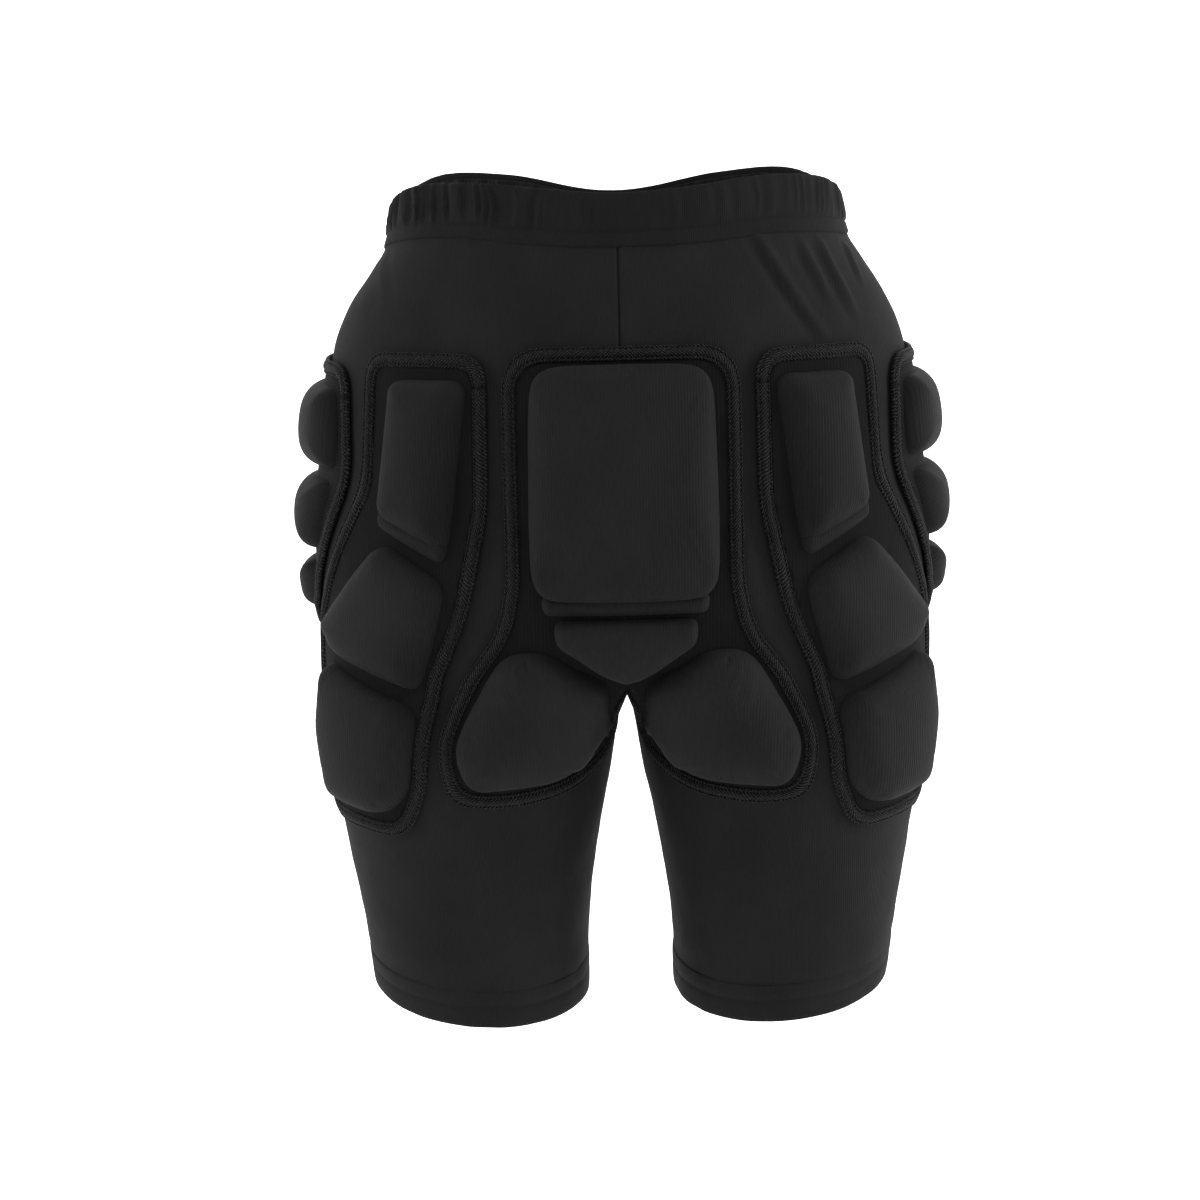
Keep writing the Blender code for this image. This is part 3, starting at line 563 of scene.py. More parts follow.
def knit_look(name, tone, roughness, sheen, wale, depth, streak=0.35):
    """Warp knit: fine wales down the cloth, and short streaks where the yarn catches the light, as bumps and
    as a painted highlight paling the colour.
    """
    look, tree, shader = plain_look(name, (tone, tone, tone * 1.02), roughness, sheen)
    wales = ribs(tree, along_cloth(tree, wale, wale), 0.6)
    streaks = grain(tree, along_cloth(tree, 0.9 * MM, 5.0 * MM))
    fuzz = grain(tree, along_cloth(tree, 0.45 * MM, 0.45 * MM))
    drift = grain(tree, along_cloth(tree, 38 * MM, 46 * MM))
    height = sum_of(tree, sum_of(tree, wales, streaks, 0.9), fuzz, 0.5)
    bumped(tree, shader, height, depth)
    # Colour: a slow drift, the cloth's own uneven tone, plus the streaks, a painted highlight where the yarn
    # catches the light.
    light = sum_of(tree, ranged(tree, drift, 0.3, 0.7, 0.0, 0.45), streaks, streak)
    low, high = tone * 0.78, tone * 1.30
    tinted(tree, shader, light, (low, low, low), (high, high, high * 1.03))
    rough = ranged(tree, fuzz, 0.3, 0.7, roughness - 0.05, roughness + 0.05)
    tree.links.new(rough, shader.inputs["Roughness"])
    return look


def twill_look(name, tone):
    """Twill tape: diagonal ribs, with a painted highlight on the yarn tops where the rib peaks meet the
    flecks.
    """
    look, tree, shader = plain_look(name, (tone, tone, tone), 0.70, 0.01)
    diagonal = ribs(tree, along_cloth(tree, 1.15 * MM, 1.15 * MM, math.radians(52)), 0.8)
    flecks = grain(tree, along_cloth(tree, 0.42 * MM, 0.42 * MM), 3.0)
    height = sum_of(tree, diagonal, flecks, 0.7)
    bumped(tree, shader, height, 0.32 * MM)
    # lit: the base colour paled on the rib tops, up to fifteen times the tone, is a painted highlight.
    lit = tree.nodes.new("ShaderNodeMath")
    lit.operation = "MULTIPLY"
    tree.links.new(diagonal, lit.inputs[0])
    tree.links.new(ranged(tree, flecks, 0.45, 0.75, 0.0, 1.6), lit.inputs[1])
    tinted(tree, shader, lit.outputs["Value"], (tone * 0.6,) * 3, (tone * 15.0,) * 3)
    return look


FABRIC_LOOK = knit_look("shorts_knit", 0.0150, 0.80, 0.012, 1.3 * MM, 0.08 * MM, 0.5)
BAND_LOOK = knit_look("waistband_knit", 0.0130, 0.80, 0.012, 1.1 * MM, 0.12 * MM)
PAD_LOOK = knit_look("pad_knit", 0.0150, 0.76, 0.015, 1.5 * MM, 0.11 * MM, 0.8)
# Panel knit toned darker than the rest of the cloth: painted shade for the dark grooves round the pads and
# tapes.
PANEL_LOOK = knit_look("panel_knit", 0.0080, 0.82, 0.005, 1.9 * MM, 0.10 * MM)
ELASTIC_LOOK = knit_look("elastic_weave", 0.0120, 0.70, 0.04, 2.2 * MM, 0.25 * MM)
TWILL_LOOK = twill_look("twill_tape", 0.0050)
THREAD_LOOK = knit_look("sewing_thread", 0.0420, 0.55, 0.05, 0.4 * MM, 0.05 * MM)


# ---- folds in the cloth ----------------------------------------------------------------------
# side, start (arc, level), end (arc, level), half width, rise
FOLDS = [
    (1, (0.0730, 0.0300), (0.1130, 0.0830), 2.4 * MM, 2.29 * MM),
    (1, (0.1000, 0.0340), (0.1180, 0.0640), 2.4 * MM, 1.76 * MM),
    (1, (0.1140, 0.0340), (0.1350, 0.0710), 2.3 * MM, 2.03 * MM),
    (1, (0.1420, 0.0360), (0.1460, 0.0560), 2.0 * MM, 1.0 * MM),
    (-1, (0.1500, 0.0360), (0.1300, 0.0620), 3.0 * MM, 0.7 * MM),
    (-1, (0.0610, 0.1710), (0.0760, 0.1712), 1.1 * MM, 0.8 * MM),
    (-1, (0.0610, 0.1790), (0.0760, 0.1790), 1.2 * MM, 0.9 * MM),
    (-1, (0.0610, 0.1830), (0.0760, 0.1834), 1.1 * MM, 0.7 * MM),
]
FOLD_VALLEY = 0.75
VALLEY_OFFSET = 2.1
SEAM_WAVE = (0.0, 0.12, 0.20, 0.35, 0.45, 0.50, 0.60, 0.80, 1.0)
SEAM_LIFT = {
    1: (0, 1.5, 4.0, 2.5, 0.5, 0.0, 0.0, 1.0, -2.0),
    -1: (0, 2.0, 5.0, 3.5, -1.0, -3.5, -1.0, 1.0, -2.0),
}
RIM_WAVE = (0.0, 0.10, 0.18, 0.35, 0.44, 0.50, 0.58, 0.72, 0.85, 1.0)
RIM_LIFT = {
    1: (-3.0, -0.5, 3.0, 1.5, -4.0, -8.0, -4.0, 4.0, 1.0, -8.0),
    -1: (-3.0, 0.0, 2.5, 0.5, -6.0, -11.0, -6.0, 4.0, 2.0, -8.0),
}
LIFT_FADE = (BAND_EDGE, 0.072)


def wave(share, knots, values):
    """Smooth curve through values in millimetres."""
    values = np.array(values, float)
    k = np.clip(np.searchsorted(knots, share, side="right") - 1, 0, len(knots) - 2)
    knots = np.array(knots)
    slopes = np.gradient(values, knots)
    slopes[0] = slopes[-1] = 0.0
    span = knots[k + 1] - knots[k]
    u = np.clip((share - knots[k]) / span, 0, 1)
    return MM * (
        (2 * u**3 - 3 * u**2 + 1) * values[k] + (u**3 - 2 * u**2 + u) * span * slopes[k]
        + (3 * u**2 - 2 * u**3) * values[k + 1] + (u**3 - u**2) * span * slopes[k + 1]
    )


OUTLINES = {}


def covered(arc, level):
    """1 where a panel lies on the fabric, falling to 0 outside its tape."""
    spots = np.stack([arc, level], -1)
    cover = np.zeros(len(arc))
    for outline in OUTLINES.values():
        cover = np.maximum(cover, ramp(edge_distance(spots, outline), -5 * MM, 0.5 * MM))
    return cover


def relief(side, arc, level):
    """Height of wrinkles and folds on the fabric."""
    height = 0.35 * MM * noise(arc / 0.030 + 11 * side, level / 0.024, 3)
    height += 0.16 * MM * noise(arc / 0.011 + 5 * side, level / 0.008, 5)
    low = ramp(level, 0.33, 0.40)
    height += low * 0.35 * MM * noise(arc / 0.045 + 7 * side, level / 0.013, 9)
    for fold_side, start, end, half_width, rise in FOLDS:
        if fold_side != side:
            continue
        a, b = np.array(start), np.array(end)
        along = b - a
        length = np.linalg.norm(along)
        along /= length
        da, dl = arc - a[0], level - a[1]
        t = (da * along[0] + dl * along[1]) / length
        off = (da * along[1] - dl * along[0]) + 0.8 * MM * np.sin(3.0 * t)
        valley = np.exp(-(((off + VALLEY_OFFSET * half_width) / half_width) ** 2))
        shape = np.exp(-((off / half_width) ** 2)) - FOLD_VALLEY * valley
        height += rise * shape * ramp(t, -0.12, 0.18) * (1 - ramp(t, 0.60, 1.1))
    return height * (1 - 0.85 * covered(arc, level))


# ---- fabric halves ---------------------------------------------------------------------------
EDGE_COLUMNS = (0.0, 0.10, 0.22, 0.40, 0.65)
COLUMNS = np.array(
    list(EDGE_COLUMNS) + list(range(1, OUTER_COLUMNS - 1))
    + [OUTER_COLUMNS - 1 - c for c in EDGE_COLUMNS[::-1]]
)
FABRIC_TOP_ROW = 11
FABRIC_END = 0.4245
SEAM_DIP = 1.0 * MM
SEAM_WIDTH = 0.75 * MM


def columns_of(table, offset):
    """Rows of a table at the fabric's own columns."""
    k = np.minimum(COLUMNS.astype(int), OUTER_COLUMNS - 2)
    part = (COLUMNS - k)[:, None]
    return table[offset + k] * (1 - part) + table[offset + k + 1] * part


def fabric_half(side):
    """Fabric of one side: seat, hip, front and leg in one skin, and the gusset strip."""
    points, normals, spots, shares, starts = [], [], [], [], []
    total = 0
    last = int(np.searchsorted(ROWS, FABRIC_END))
    for r in range(FABRIC_TOP_ROW, last + 1):
        offset = 0 if r < FIRST_LEG else HALF_INNER
        table = np.concatenate([RINGS[r], NORMALS[r], ARCS[r][:, None]], axis=1)
        row = columns_of(table, offset)
        share = COLUMNS / (OUTER_COLUMNS - 1)
        if r >= FIRST_LEG:
            row = np.concatenate([table[:HALF_INNER], row, table[HALF_INNER + OUTER_COLUMNS:-1]])
            share = np.concatenate([np.zeros(HALF_INNER), share, np.ones(len(row) - HALF_INNER - len(share))])
        starts.append(total)
        total += len(row)
        points.append(row[:, :3])
        normals.append(unit(row[:, 3:6]))
        spots.append(np.stack([row[:, 6], np.full(len(row), ROWS[r])], -1))
        shares.append(share)
    points, normals = np.concatenate(points), np.concatenate(normals)
    spots, shares = np.concatenate(spots), np.concatenate(shares)
    arc, level = spots[:, 0], spots[:, 1]
    height = relief(side, arc, level)
    from_centre = np.abs(points[:, 0])
    seam = np.exp(-((from_centre / SEAM_WIDTH) ** 2)) * (level < CROTCH_LEVEL + ROW_STEP)
    height = height * ramp(from_centre, 0.0, 9 * MM) - SEAM_DIP * seam
    lift = wave(shares, SEAM_WAVE, SEAM_LIFT[side]) * (1 - ramp(level, *LIFT_FADE))
    outer = points + normals * height[:, None]
    outer[:, 2] += lift
    inner = outer - normals * FABRIC_THICKNESS
    on_centre = from_centre < 1e-6
    inner[on_centre, 0] = 0.0
    outer[on_centre, 0] = 0.0
    wide = len(COLUMNS)
    faces, strip = [], []
    for i in range(len(starts) - 1):
        r = FABRIC_TOP_ROW + i
        upper, lower = starts[i], starts[i + 1]
        if r < FIRST_LEG:
            shift = HALF_INNER if r + 1 == FIRST_LEG else 0
            for c in range(wide - 1):
                faces.append((upper + c, upper + c + 1, lower + shift + c + 1, lower + shift + c))
            continue
        count = starts[i + 1] - starts[i]
        for c in range(count):
            d = (c + 1) % count
            face = (upper + c, upper + d, lower + d, lower + c)
            inner_thigh = c < HALF_INNER or c >= HALF_INNER + wide - 1
            (strip if inner_thigh and ROWS[r] < GUSSET_EDGE - ROW_STEP / 2 else faces).append(face)
    made = []
    tag = "_right" if side > 0 else "_left"
    for name, chosen in (("shorts_fabric", faces), ("crotch_gusset", strip)):
        used = np.unique(np.array(chosen).ravel())
        slots = np.full(len(outer), -1)
        slots[used] = np.arange(len(used))
        own = slots[np.array(chosen)]
        own = own[:, ::-1]
        verts, both, uv = thickened(outer[used], inner[used], own, spots[used])
        verts, both = on_side(side, verts, both)
        made.append(build(name + tag, verts, both, uv, [FABRIC_LOOK]))
    return made


def bend(piece):
    """The piece's placement is baked into its mesh."""
    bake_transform(piece)


# ---- ring pieces: waistband, elastic, hems ---------------------------------------------------
BAND_COLUMNS = 330
GATHER_PERIOD = 4.2 * MM
GATHER_RISE = 1.9 * MM


def ring_at(level):
    """Points, normals and arcs of the form at one level."""
    r = min(int(np.searchsorted(ROWS, level, side="right")) - 1, len(ROWS) - 2)
    part = (level - ROWS[r]) / (ROWS[r + 1] - ROWS[r])
    table = np.concatenate([RINGS[r], NORMALS[r], ARCS[r][:, None]], 1) * (1 - part)
    return table + np.concatenate([RINGS[r + 1], NORMALS[r + 1], ARCS[r + 1][:, None]], 1) * part


def sampled_at(table, at):
    return np.stack([np.interp(at, np.arange(len(table)), column) for column in table.T], 1)


def band_ring(section, lifted, gathers):
    """Closed ring round the waist; the section is (level, height, gather share) in millimetres."""
    share = np.linspace(0, 1, BAND_COLUMNS + 1)
    rows, spots = [], []
    for side in (1, -1):
        for level_mm, height_mm, gather in section:
            level = max(level_mm, 0.0) * MM
            sampled = sampled_at(ring_at(level)[:OUTER_COLUMNS], share * (OUTER_COLUMNS - 1))
            points, normals, arc = sampled[:, :3], unit(sampled[:, 3:6]), sampled[:, 6]
            signed = arc * side
            rim = wave(share, RIM_WAVE, RIM_LIFT[side])
            seam = wave(share, SEAM_WAVE, SEAM_LIFT[side])
            fall = np.clip(level / BAND_EDGE, 0, 1)
            strength = gathers(side, share)
            sway = 0.5 * noise(signed / 0.020, np.full_like(arc, level / 0.012), 21)
            pucker = noise(signed / GATHER_PERIOD + sway, np.full_like(arc, level / 0.060), 23)
            pucker = 0.7 - 2.2 * np.abs(pucker)
            pucker = np.maximum(pucker, -0.75)
            height = height_mm * MM + gather * strength * GATHER_RISE * pucker
            out = points + normals * height[:, None]
            out[:, 2] += (rim * (1 - fall) + seam * fall) if lifted else 0.0
            out[:, 2] -= min(level_mm, 0.0) * MM
            out[:, 0] *= side
            rows.append(out)
            spots.append(np.stack([signed, np.full_like(arc, level_mm * MM)], 1))
    count = len(section)
    grid, uv = [], []
    for i in range(count):
        grid.append(np.concatenate([rows[i], rows[count + i][-2:0:-1]]))
        uv.append(np.concatenate([spots[i], spots[count + i][-2:0:-1]]))
    return grid, uv


def looped(name, grid, uv, look):
    """Closed ring whose section is closed too."""
    rows, cols = len(grid), len(grid[0])
    faces = grid_faces(rows + 1, cols, True) % (rows * cols)
    verts = np.concatenate(grid)
    centre = verts.mean(axis=0)
    a, b, c = (verts[faces[:, k]] for k in range(3))
    volume = np.einsum("ij,ij->", a - centre, np.cross(b - centre, c - centre))
    if volume < 0:
        faces = faces[:, ::-1]
    return build(name, verts, faces, np.concatenate(uv), [look])


def rear_gathers(side, share):
    """Strong on the sides of the back, slight on the centre."""
    knots = (0.0, 0.08, 0.16, 0.30, 0.42, 0.50, 0.65, 1.0)
    right = (0.10, 0.18, 0.30, 0.30, 0.80, 0.9, 1.0, 1.0)
    left = (0.10, 0.35, 0.90, 1.00, 0.70, 0.8, 1.0, 1.0)
    return np.interp(share, knots, right if side > 0 else left)


BAND_SECTION = [
    (30.6, -0.6, 0.0), (30.3, 0.3, 0.0), (29.8, 0.8, 0.0), (28.8, 1.0, 0.0), (26.8, 1.0, 0.0),
    (24.6, 1.0, 0.05), (23.2, 0.9, 0.1), (22.5, 0.5, 0.15), (21.9, 0.55, 0.2), (21.2, 1.0, 0.35),
    (19.6, 1.2, 0.7), (17.2, 1.25, 1.0), (14.5, 1.3, 1.1), (11.5, 1.3, 1.1), (8.5, 1.3, 1.0),
    (5.5, 1.25, 0.9), (3.2, 1.2, 0.8), (1.6, 1.0, 0.6), (0.6, 0.6, 0.4), (0.0, -0.1, 0.2),
    (0.0, -1.0, 0.1), (0.9, -1.6, 0.1), (2.4, -1.9, 0.1), (29.2, -1.7, 0.0), (30.4, -1.2, 0.0),
]
ELASTIC_SECTION = [
    (27.0, -2.0, 0.1), (27.3, -2.5, 0.2), (26.8, -3.0, 0.3), (22.0, -3.1, 0.7), (16.0, -3.1, 0.9),
    (10.0, -3.1, 0.9), (6.0, -3.0, 0.8), (3.4, -2.9, 0.6), (2.9, -2.4, 0.4), (3.2, -2.0, 0.2),
]


def hem_piece(side):
    """Turned-up edge of a leg, with a shallow groove along it."""
    section = [
        (420.2, -0.2), (420.6, 0.25), (421.6, 0.5), (425.0, 0.7), (428.2, 0.75), (429.0, 0.35),
        (429.8, 0.75), (433.0, 0.95), (437.0, 1.0), (439.6, 0.9), (440.7, 0.4), (441.0, -0.7),
        (440.6, -1.8), (439.0, -2.3), (430.0, -2.3), (422.0, -2.2), (420.4, -1.7),
    ]
    count = 260
    grid, uv = [], []
    for level_mm, height_mm in section:
        level = level_mm * MM
        table = ring_at(level)
        sampled = sampled_at(table, np.linspace(0, len(table) - 1, count + 1)[:-1])
        arc = sampled[:, 6]
        ripple = 0.25 * MM * noise(arc / 0.009 + 3 * side, np.full_like(arc, level / 0.02), 31)
        ripple += 0.30 * MM * noise(arc / 0.035 + 3 * side, np.full_like(arc, level / 0.05), 33)
        out = sampled[:, :3] + unit(sampled[:, 3:6]) * (height_mm * MM + ripple)[:, None]
        out[:, 0] *= side
        grid.append(out)
        uv.append(np.stack([arc, np.full_like(arc, level)], 1))
    tag = "_right" if side > 0 else "_left"
    return looped("leg_hem" + tag, grid, uv, FABRIC_LOOK)


# ---- stitches --------------------------------------------------------------------------------
def stitches(path, normals, length, gap, width, rise):
    """Small rounded threads laid along a path."""
    travelled = np.concatenate([[0.0], np.cumsum(np.linalg.norm(np.diff(path, axis=0), axis=1))])
    verts, faces = [], []
    at = gap
    while at + length < travelled[-1]:
        ends = [
            np.array([np.interp(at + k * length, travelled, path[:, a]) for a in range(3)])
            for k in (0, 0.25, 0.75, 1)
        ]
        normal = unit(np.array([np.interp(at + length / 2, travelled, normals[:, a]) for a in range(3)]))
        along = unit(ends[-1] - ends[0])
        across = np.cross(along, normal)
        base = len(verts)
        verts.append(ends[0] - normal * rise * 0.4)
        for middle in ends[1:3]:
            verts += [
                middle + across * width / 2, middle + normal * rise,
                middle - across * width / 2, middle - normal * rise * 0.5,
            ]
        verts.append(ends[3] - normal * rise * 0.4)
        for k in range(4):
            n = (k + 1) % 4
            faces.append((base, base + 1 + k, base + 1 + n))
            faces.append((base + 1 + k, base + 5 + k, base + 5 + n, base + 1 + n))
            faces.append((base + 9, base + 5 + n, base + 5 + k))
        at += length + gap
    return np.array(verts), faces


# ---- binding tape ----------------------------------------------------------------------------
# distance from the outer edge, height above the form, in millimetres
TAPE_SECTION = [
    (0.00, 1.5), (0.05, 2.6), (0.35, 3.45), (0.85, 3.70), (1.15, 3.30), (1.40, 2.75), (1.70, 3.3),
    (2.30, 4.10), (3.75, 4.45), (5.20, 4.10), (5.80, 3.3), (6.10, 2.75), (6.35, 3.30), (6.65, 3.70),
    (7.15, 3.45), (7.45, 2.6), (7.50, 1.5),
]
STITCH_LINES = (1.40, 6.10)


def tape(name, corners, radius, closed, end_fix, side, overlap):
    outer = rounded(corners, radius, 0.0, closed)
    inner = rounded(corners, radius, TAPE_WIDTH, closed)
    if end_fix is not None:
        inner[-1] = end_fix
    middle = (outer + inner) / 2
    travelled = np.concatenate([[0.0], np.cumsum(np.linalg.norm(np.diff(middle, axis=0), axis=1))])
    count = len(outer)
    lap = np.exp(-(((travelled - overlap) / (5 * MM)) ** 4)) if overlap else np.zeros(count)
    waver = 0.25 * MM * noise(travelled / 0.014, np.full_like(travelled, 2.0 * side), 41)
    rows, uv = [], []
    for across_mm, height_mm in TAPE_SECTION:
        share = across_mm * MM / TAPE_WIDTH
        spots = outer * (1 - share) + inner * share
        height = height_mm * MM + (0.6 * MM * lap + waver * 0.5 if height_mm > 2.0 else 0.0)
        rows.append(place(spots, height))
        uv.append(np.stack([travelled, np.full(count, across_mm * MM)], 1))
    verts = np.concatenate(rows)
    rings = len(rows)
    faces = []
    steps = count if closed else count - 1
    for i in range(rings):
        j = (i + 1) % rings
        for c in range(steps):
            d = (c + 1) % count
            faces.append((i * count + c, j * count + c, j * count + d, i * count + d))
    kinds = [0] * len(faces)
    uv = np.concatenate(uv)
    for across_mm in STITCH_LINES:
        share = across_mm * MM / TAPE_WIDTH
        spots = outer * (1 - share) + inner * share
        if closed:
            spots = np.concatenate([spots, spots[:1]])
        line = place(spots, 3.0 * MM)
        lifted = place(spots, 4.0 * MM)
        more, more_faces = stitches(line, lifted - line, 1.9 * MM, 0.7 * MM, 0.5 * MM, 0.28 * MM)
        base = len(verts)
        verts = np.concatenate([verts, more])
        uv = np.concatenate([uv, more[:, :2]])
        faces += [tuple(base + i for i in f) for f in more_faces]
        kinds += [1] * len(more_faces)
    made_verts, made_faces = on_side(side, verts, faces)
    made = build(name, made_verts, made_faces, uv, [TWILL_LOOK, THREAD_LOOK], kinds)
    fixed_normals(made)
    return made


def fixed_normals(piece):
    shape = bmesh.new()
    shape.from_mesh(piece.data)
    bmesh.ops.recalc_face_normals(shape, faces=shape.faces)
    shape.to_mesh(piece.data)
    shape.free()


# ---- panels ----------------------------------------------------------------------------------
def panel(name, outline, side, spacing=4 * MM):
    """Thin moulded sheet under the pads, its edge held by the tape."""
    extra = spread(outline, spacing, spacing * 0.4)
    points, triangles = joined_up(outline, extra)
    swell = 0.25 * MM * noise(points[:, 0] / 0.012, points[:, 1] / 0.016, 51)
    top = place(points, PANEL_TOP + swell)
    bottom = place(points, PANEL_BOTTOM)
    triangles = outward(triangles, top, top - bottom)
    verts, faces, uv = thickened(top, bottom, triangles, points)
    verts, faces = on_side(side, verts, faces)
    return build(name, verts, faces, uv, [PANEL_LOOK])


# ---- pads ------------------------------------------------------------------------------------
# distance in from the pad's edge in millimetres, share of its height
CRISP = [
    (0, 0.0), (0.35, 0.20), (0.8, 0.44), (1.4, 0.66), (2.1, 0.81), (3.0, 0.905), (4.1, 0.95), (6.0, 0.975),
    (10, 0.99), (22, 1.02), (45, 1.05),
]
SOFT = [
    (0, 0.0), (0.5, 0.17), (1.1, 0.33), (2.0, 0.49), (3.3, 0.635), (4.8, 0.755), (6.6, 0.85), (9.0, 0.93),
    (12, 0.98), (17, 1.01), (27, 1.04),
]
STEPPED = [
    (0, 0.0), (0.5, 0.18), (1.1, 0.36), (2.0, 0.53), (3.2, 0.65), (4.6, 0.72), (6.4, 0.765), (8.4, 0.79),
    (9.8, 0.84), (11.4, 0.92), (13.5, 0.975), (17, 1.01), (30, 1.05),
]
FINE = 2.0 * MM
LEDGE_SPACING = 1.5 * MM


def dome(outline_of, profile, foot, height, tilt=None, spacing=FINE):
    """Raised shape over an outline: rings close to the edge, even points inside."""
    outline = outline_of(0.0)
    rings = [outline_of(d * MM) for d, _ in profile[1:7]]
    inner = rings[-1]
    extra = spread(inner, spacing, 0.6 * spacing)
    points, triangles = joined_up(inner, extra)
    count = len(outline)
    base = count * len(rings)
    every = np.concatenate([outline] + rings[:-1] + [points])
    faces = [tuple(base + int(i) for i in f) for f in triangles]
    for ring in range(len(rings)):
        for c in range(count):
            d = (c + 1) % count
            faces.append((ring * count + c, ring * count + d, (ring + 1) * count + d))
            faces.append((ring * count + c, (ring + 1) * count + d, (ring + 1) * count + c))
    distance = np.maximum(edge_distance(every, outline), 0.0)
    for ring in range(len(rings)):
        distance[(ring + 1) * count:(ring + 2) * count] = profile[ring + 1][0] * MM
    distance[:count] = 0.0
    steps, shares = zip(*profile)
    rise = np.interp(distance / MM, steps, shares) * (height - foot)
    if tilt is not None:
        rise *= tilt(every)
    top = place(every, foot + rise)
    up = place(every, foot + rise + MM) - top
    faces = outward(np.array(faces), top, up)
    low_points, low_faces = joined_up(outline, spread(outline, 10 * MM, 5 * MM))
    under = place(low_points, foot)
    low_faces = outward(low_faces, under, under - place(low_points, foot + MM))
    verts = np.concatenate([top, under])
    uv = np.concatenate([every, low_points])
    both = [tuple(int(i) for i in f) for f in faces]
    both += [tuple(int(i) + len(top) for i in f) for f in low_faces]
    return verts, both, uv


SHOULDER_DROP = 0.42
SHOULDER_WIDTH = 13 * MM
INNER_EDGE = {
    "thigh_upper": [(0.0965, 0.0785), (0.1835, 0.0905)],
    "thigh_middle": [(0.1990, 0.0920), (0.2570, 0.1075)],
    "thigh_lower": [(0.2645, 0.1100), (0.3100, 0.1165), (0.3230, 0.1300)],
}
HELD_BELOW = PAD_FOOT + 0.4 * MM
SIM_FRAMES = 20
SIM_PRESSURE = 300.0
TAIL_PRESSURE = 22.0
SWELL_CAP = 1.5 * MM
POINT_MASS = 0.02
SWOLLEN = {}


def above_form(verts, spots):
    """Height of points over the spots that they were placed from."""
    return np.linalg.norm(verts - place(spots, 0.0), axis=1)


def swollen(verts, faces, held, pressure):
    """Cloth cover pressed out by the foam under it; held points stay where they are sewn."""
    mesh = bpy.data.meshes.new("cover_cloth")
    mesh.from_pydata([tuple(v) for v in verts], [], faces)
    mesh.update()
    cover = bpy.data.objects.new("cover_cloth", mesh)
    bpy.context.scene.collection.objects.link(cover)
    cover.vertex_groups.new(name="held").add([int(i) for i in np.nonzero(held)[0]], 1.0, "REPLACE")
    cloth = cover.modifiers.new("cover", "CLOTH")
    cloth.settings.vertex_group_mass = "held"
    cloth.settings.mass = POINT_MASS
    cloth.settings.use_pressure = True
    cloth.settings.uniform_pressure_force = pressure
    cloth.settings.effector_weights.gravity = 0.0
    cloth.collision_settings.use_collision = False
    for step in range(1, SIM_FRAMES + 1):
        bpy.context.scene.frame_set(step)
    shown = cover.evaluated_get(bpy.context.evaluated_depsgraph_get())
    moved = np.zeros(len(verts) * 3)
    shown.data.vertices.foreach_get("co", moved)
    shift = moved.reshape(-1, 3) - verts
    size = np.linalg.norm(shift, axis=1, keepdims=True)
    bpy.data.objects.remove(cover)
    bpy.data.meshes.remove(mesh)
    bpy.context.scene.frame_set(1)
    return verts + shift * np.minimum(1.0, SWELL_CAP / np.maximum(size, 1e-12))


def sloped(name):
    """Lower, wider shoulder along the side of a thigh pad that faces the centre."""
    levels, arcs = zip(*INNER_EDGE[name])

    def share(spots):
        inside = spots[:, 0] - np.interp(spots[:, 1], levels, arcs)
        return 1.0 - SHOULDER_DROP * (1.0 - ramp(inside, 0.0, SHOULDER_WIDTH))

    return share


def pad(name, corners, radius, height, profile, side=1, ledges=(), tilt=None):
    verts, faces, uv = dome(lambda inset: rounded(corners, radius, inset), profile, PAD_FOOT, height, tilt)
    for ledge_corners, ledge_radius, ledge_height, ledge_profile in ledges:
        more, more_faces, more_uv = dome(
            lambda inset: rounded(ledge_corners, ledge_radius, inset),
            ledge_profile, PAD_FOOT, ledge_height, None, LEDGE_SPACING,
        )
        faces += [tuple(i + len(verts) for i in f) for f in more_faces]
        verts, uv = np.concatenate([verts, more]), np.concatenate([uv, more_uv])
    stem = name.replace("_left", "_right")
    if stem not in SWOLLEN:
        pressure = TAIL_PRESSURE if stem == "tailbone_pad" else SIM_PRESSURE
        SWOLLEN[stem] = swollen(verts, faces, above_form(verts, uv) < HELD_BELOW, pressure)
    verts, faces = on_side(side, SWOLLEN.get(stem, verts), faces)
    return build(name, verts, faces, uv, [PAD_LOOK])


# ---- the pieces ------------------------------------------------------------------------------
tail_path = rounded(TAIL_EDGE, TAIL_RADIUS, 0.0, False)
OUTLINES["tail"] = np.concatenate([tail_path, [(-0.018, 0.262), (0.0, 0.255)]])
OUTLINES["thigh"] = rounded(THIGH_EDGE, PANEL_RADIUS)
OUTLINES["hip"] = rounded(HIP_EDGE, PANEL_RADIUS)

LEDGE = [(0, 0.0), (0.5, 0.22), (1.0, 0.42), (1.7, 0.61), (2.4, 0.77), (3.1, 0.88), (3.8, 0.95), (5, 1.0)]
TAIL_STRIP = [(-0.0430, 0.2030), (0.0430, 0.2030), (0.0420, 0.2138), (-0.0420, 0.2138)]
UPPER_STRIP = [(0.1300, 0.1600), (0.1325, 0.1712), (0.0935, 0.1892), (0.0895, 0.1770)]
TAIL_LEDGE = (TAIL_STRIP, 0.009, 7.0 * MM, LEDGE)
UPPER_LEDGE = (UPPER_STRIP, 0.007, 7.0 * MM, LEDGE)
PADS = [
    ("thigh_upper", UPPER_PAD, 0.009, 14.0 * MM, SOFT, (UPPER_LEDGE,)),
    ("thigh_middle", MIDDLE_PAD, 0.010, 14.0 * MM, SOFT, ()),
    ("thigh_lower", LOWER_PAD, 0.011, 14.0 * MM, SOFT, ()),
    ("hip_upper", HIP_UPPER_PAD, 0.009, 14.0 * MM, SOFT, ()),
    ("hip_middle", HIP_MIDDLE_PAD, 0.009, 14.0 * MM, SOFT, ()),
    ("hip_lower", HIP_LOWER_PAD, 0.008, 13.0 * MM, SOFT, ()),
    ("sit", SIT_PAD, 0.014, 15.5 * MM, STEPPED, ()),
]
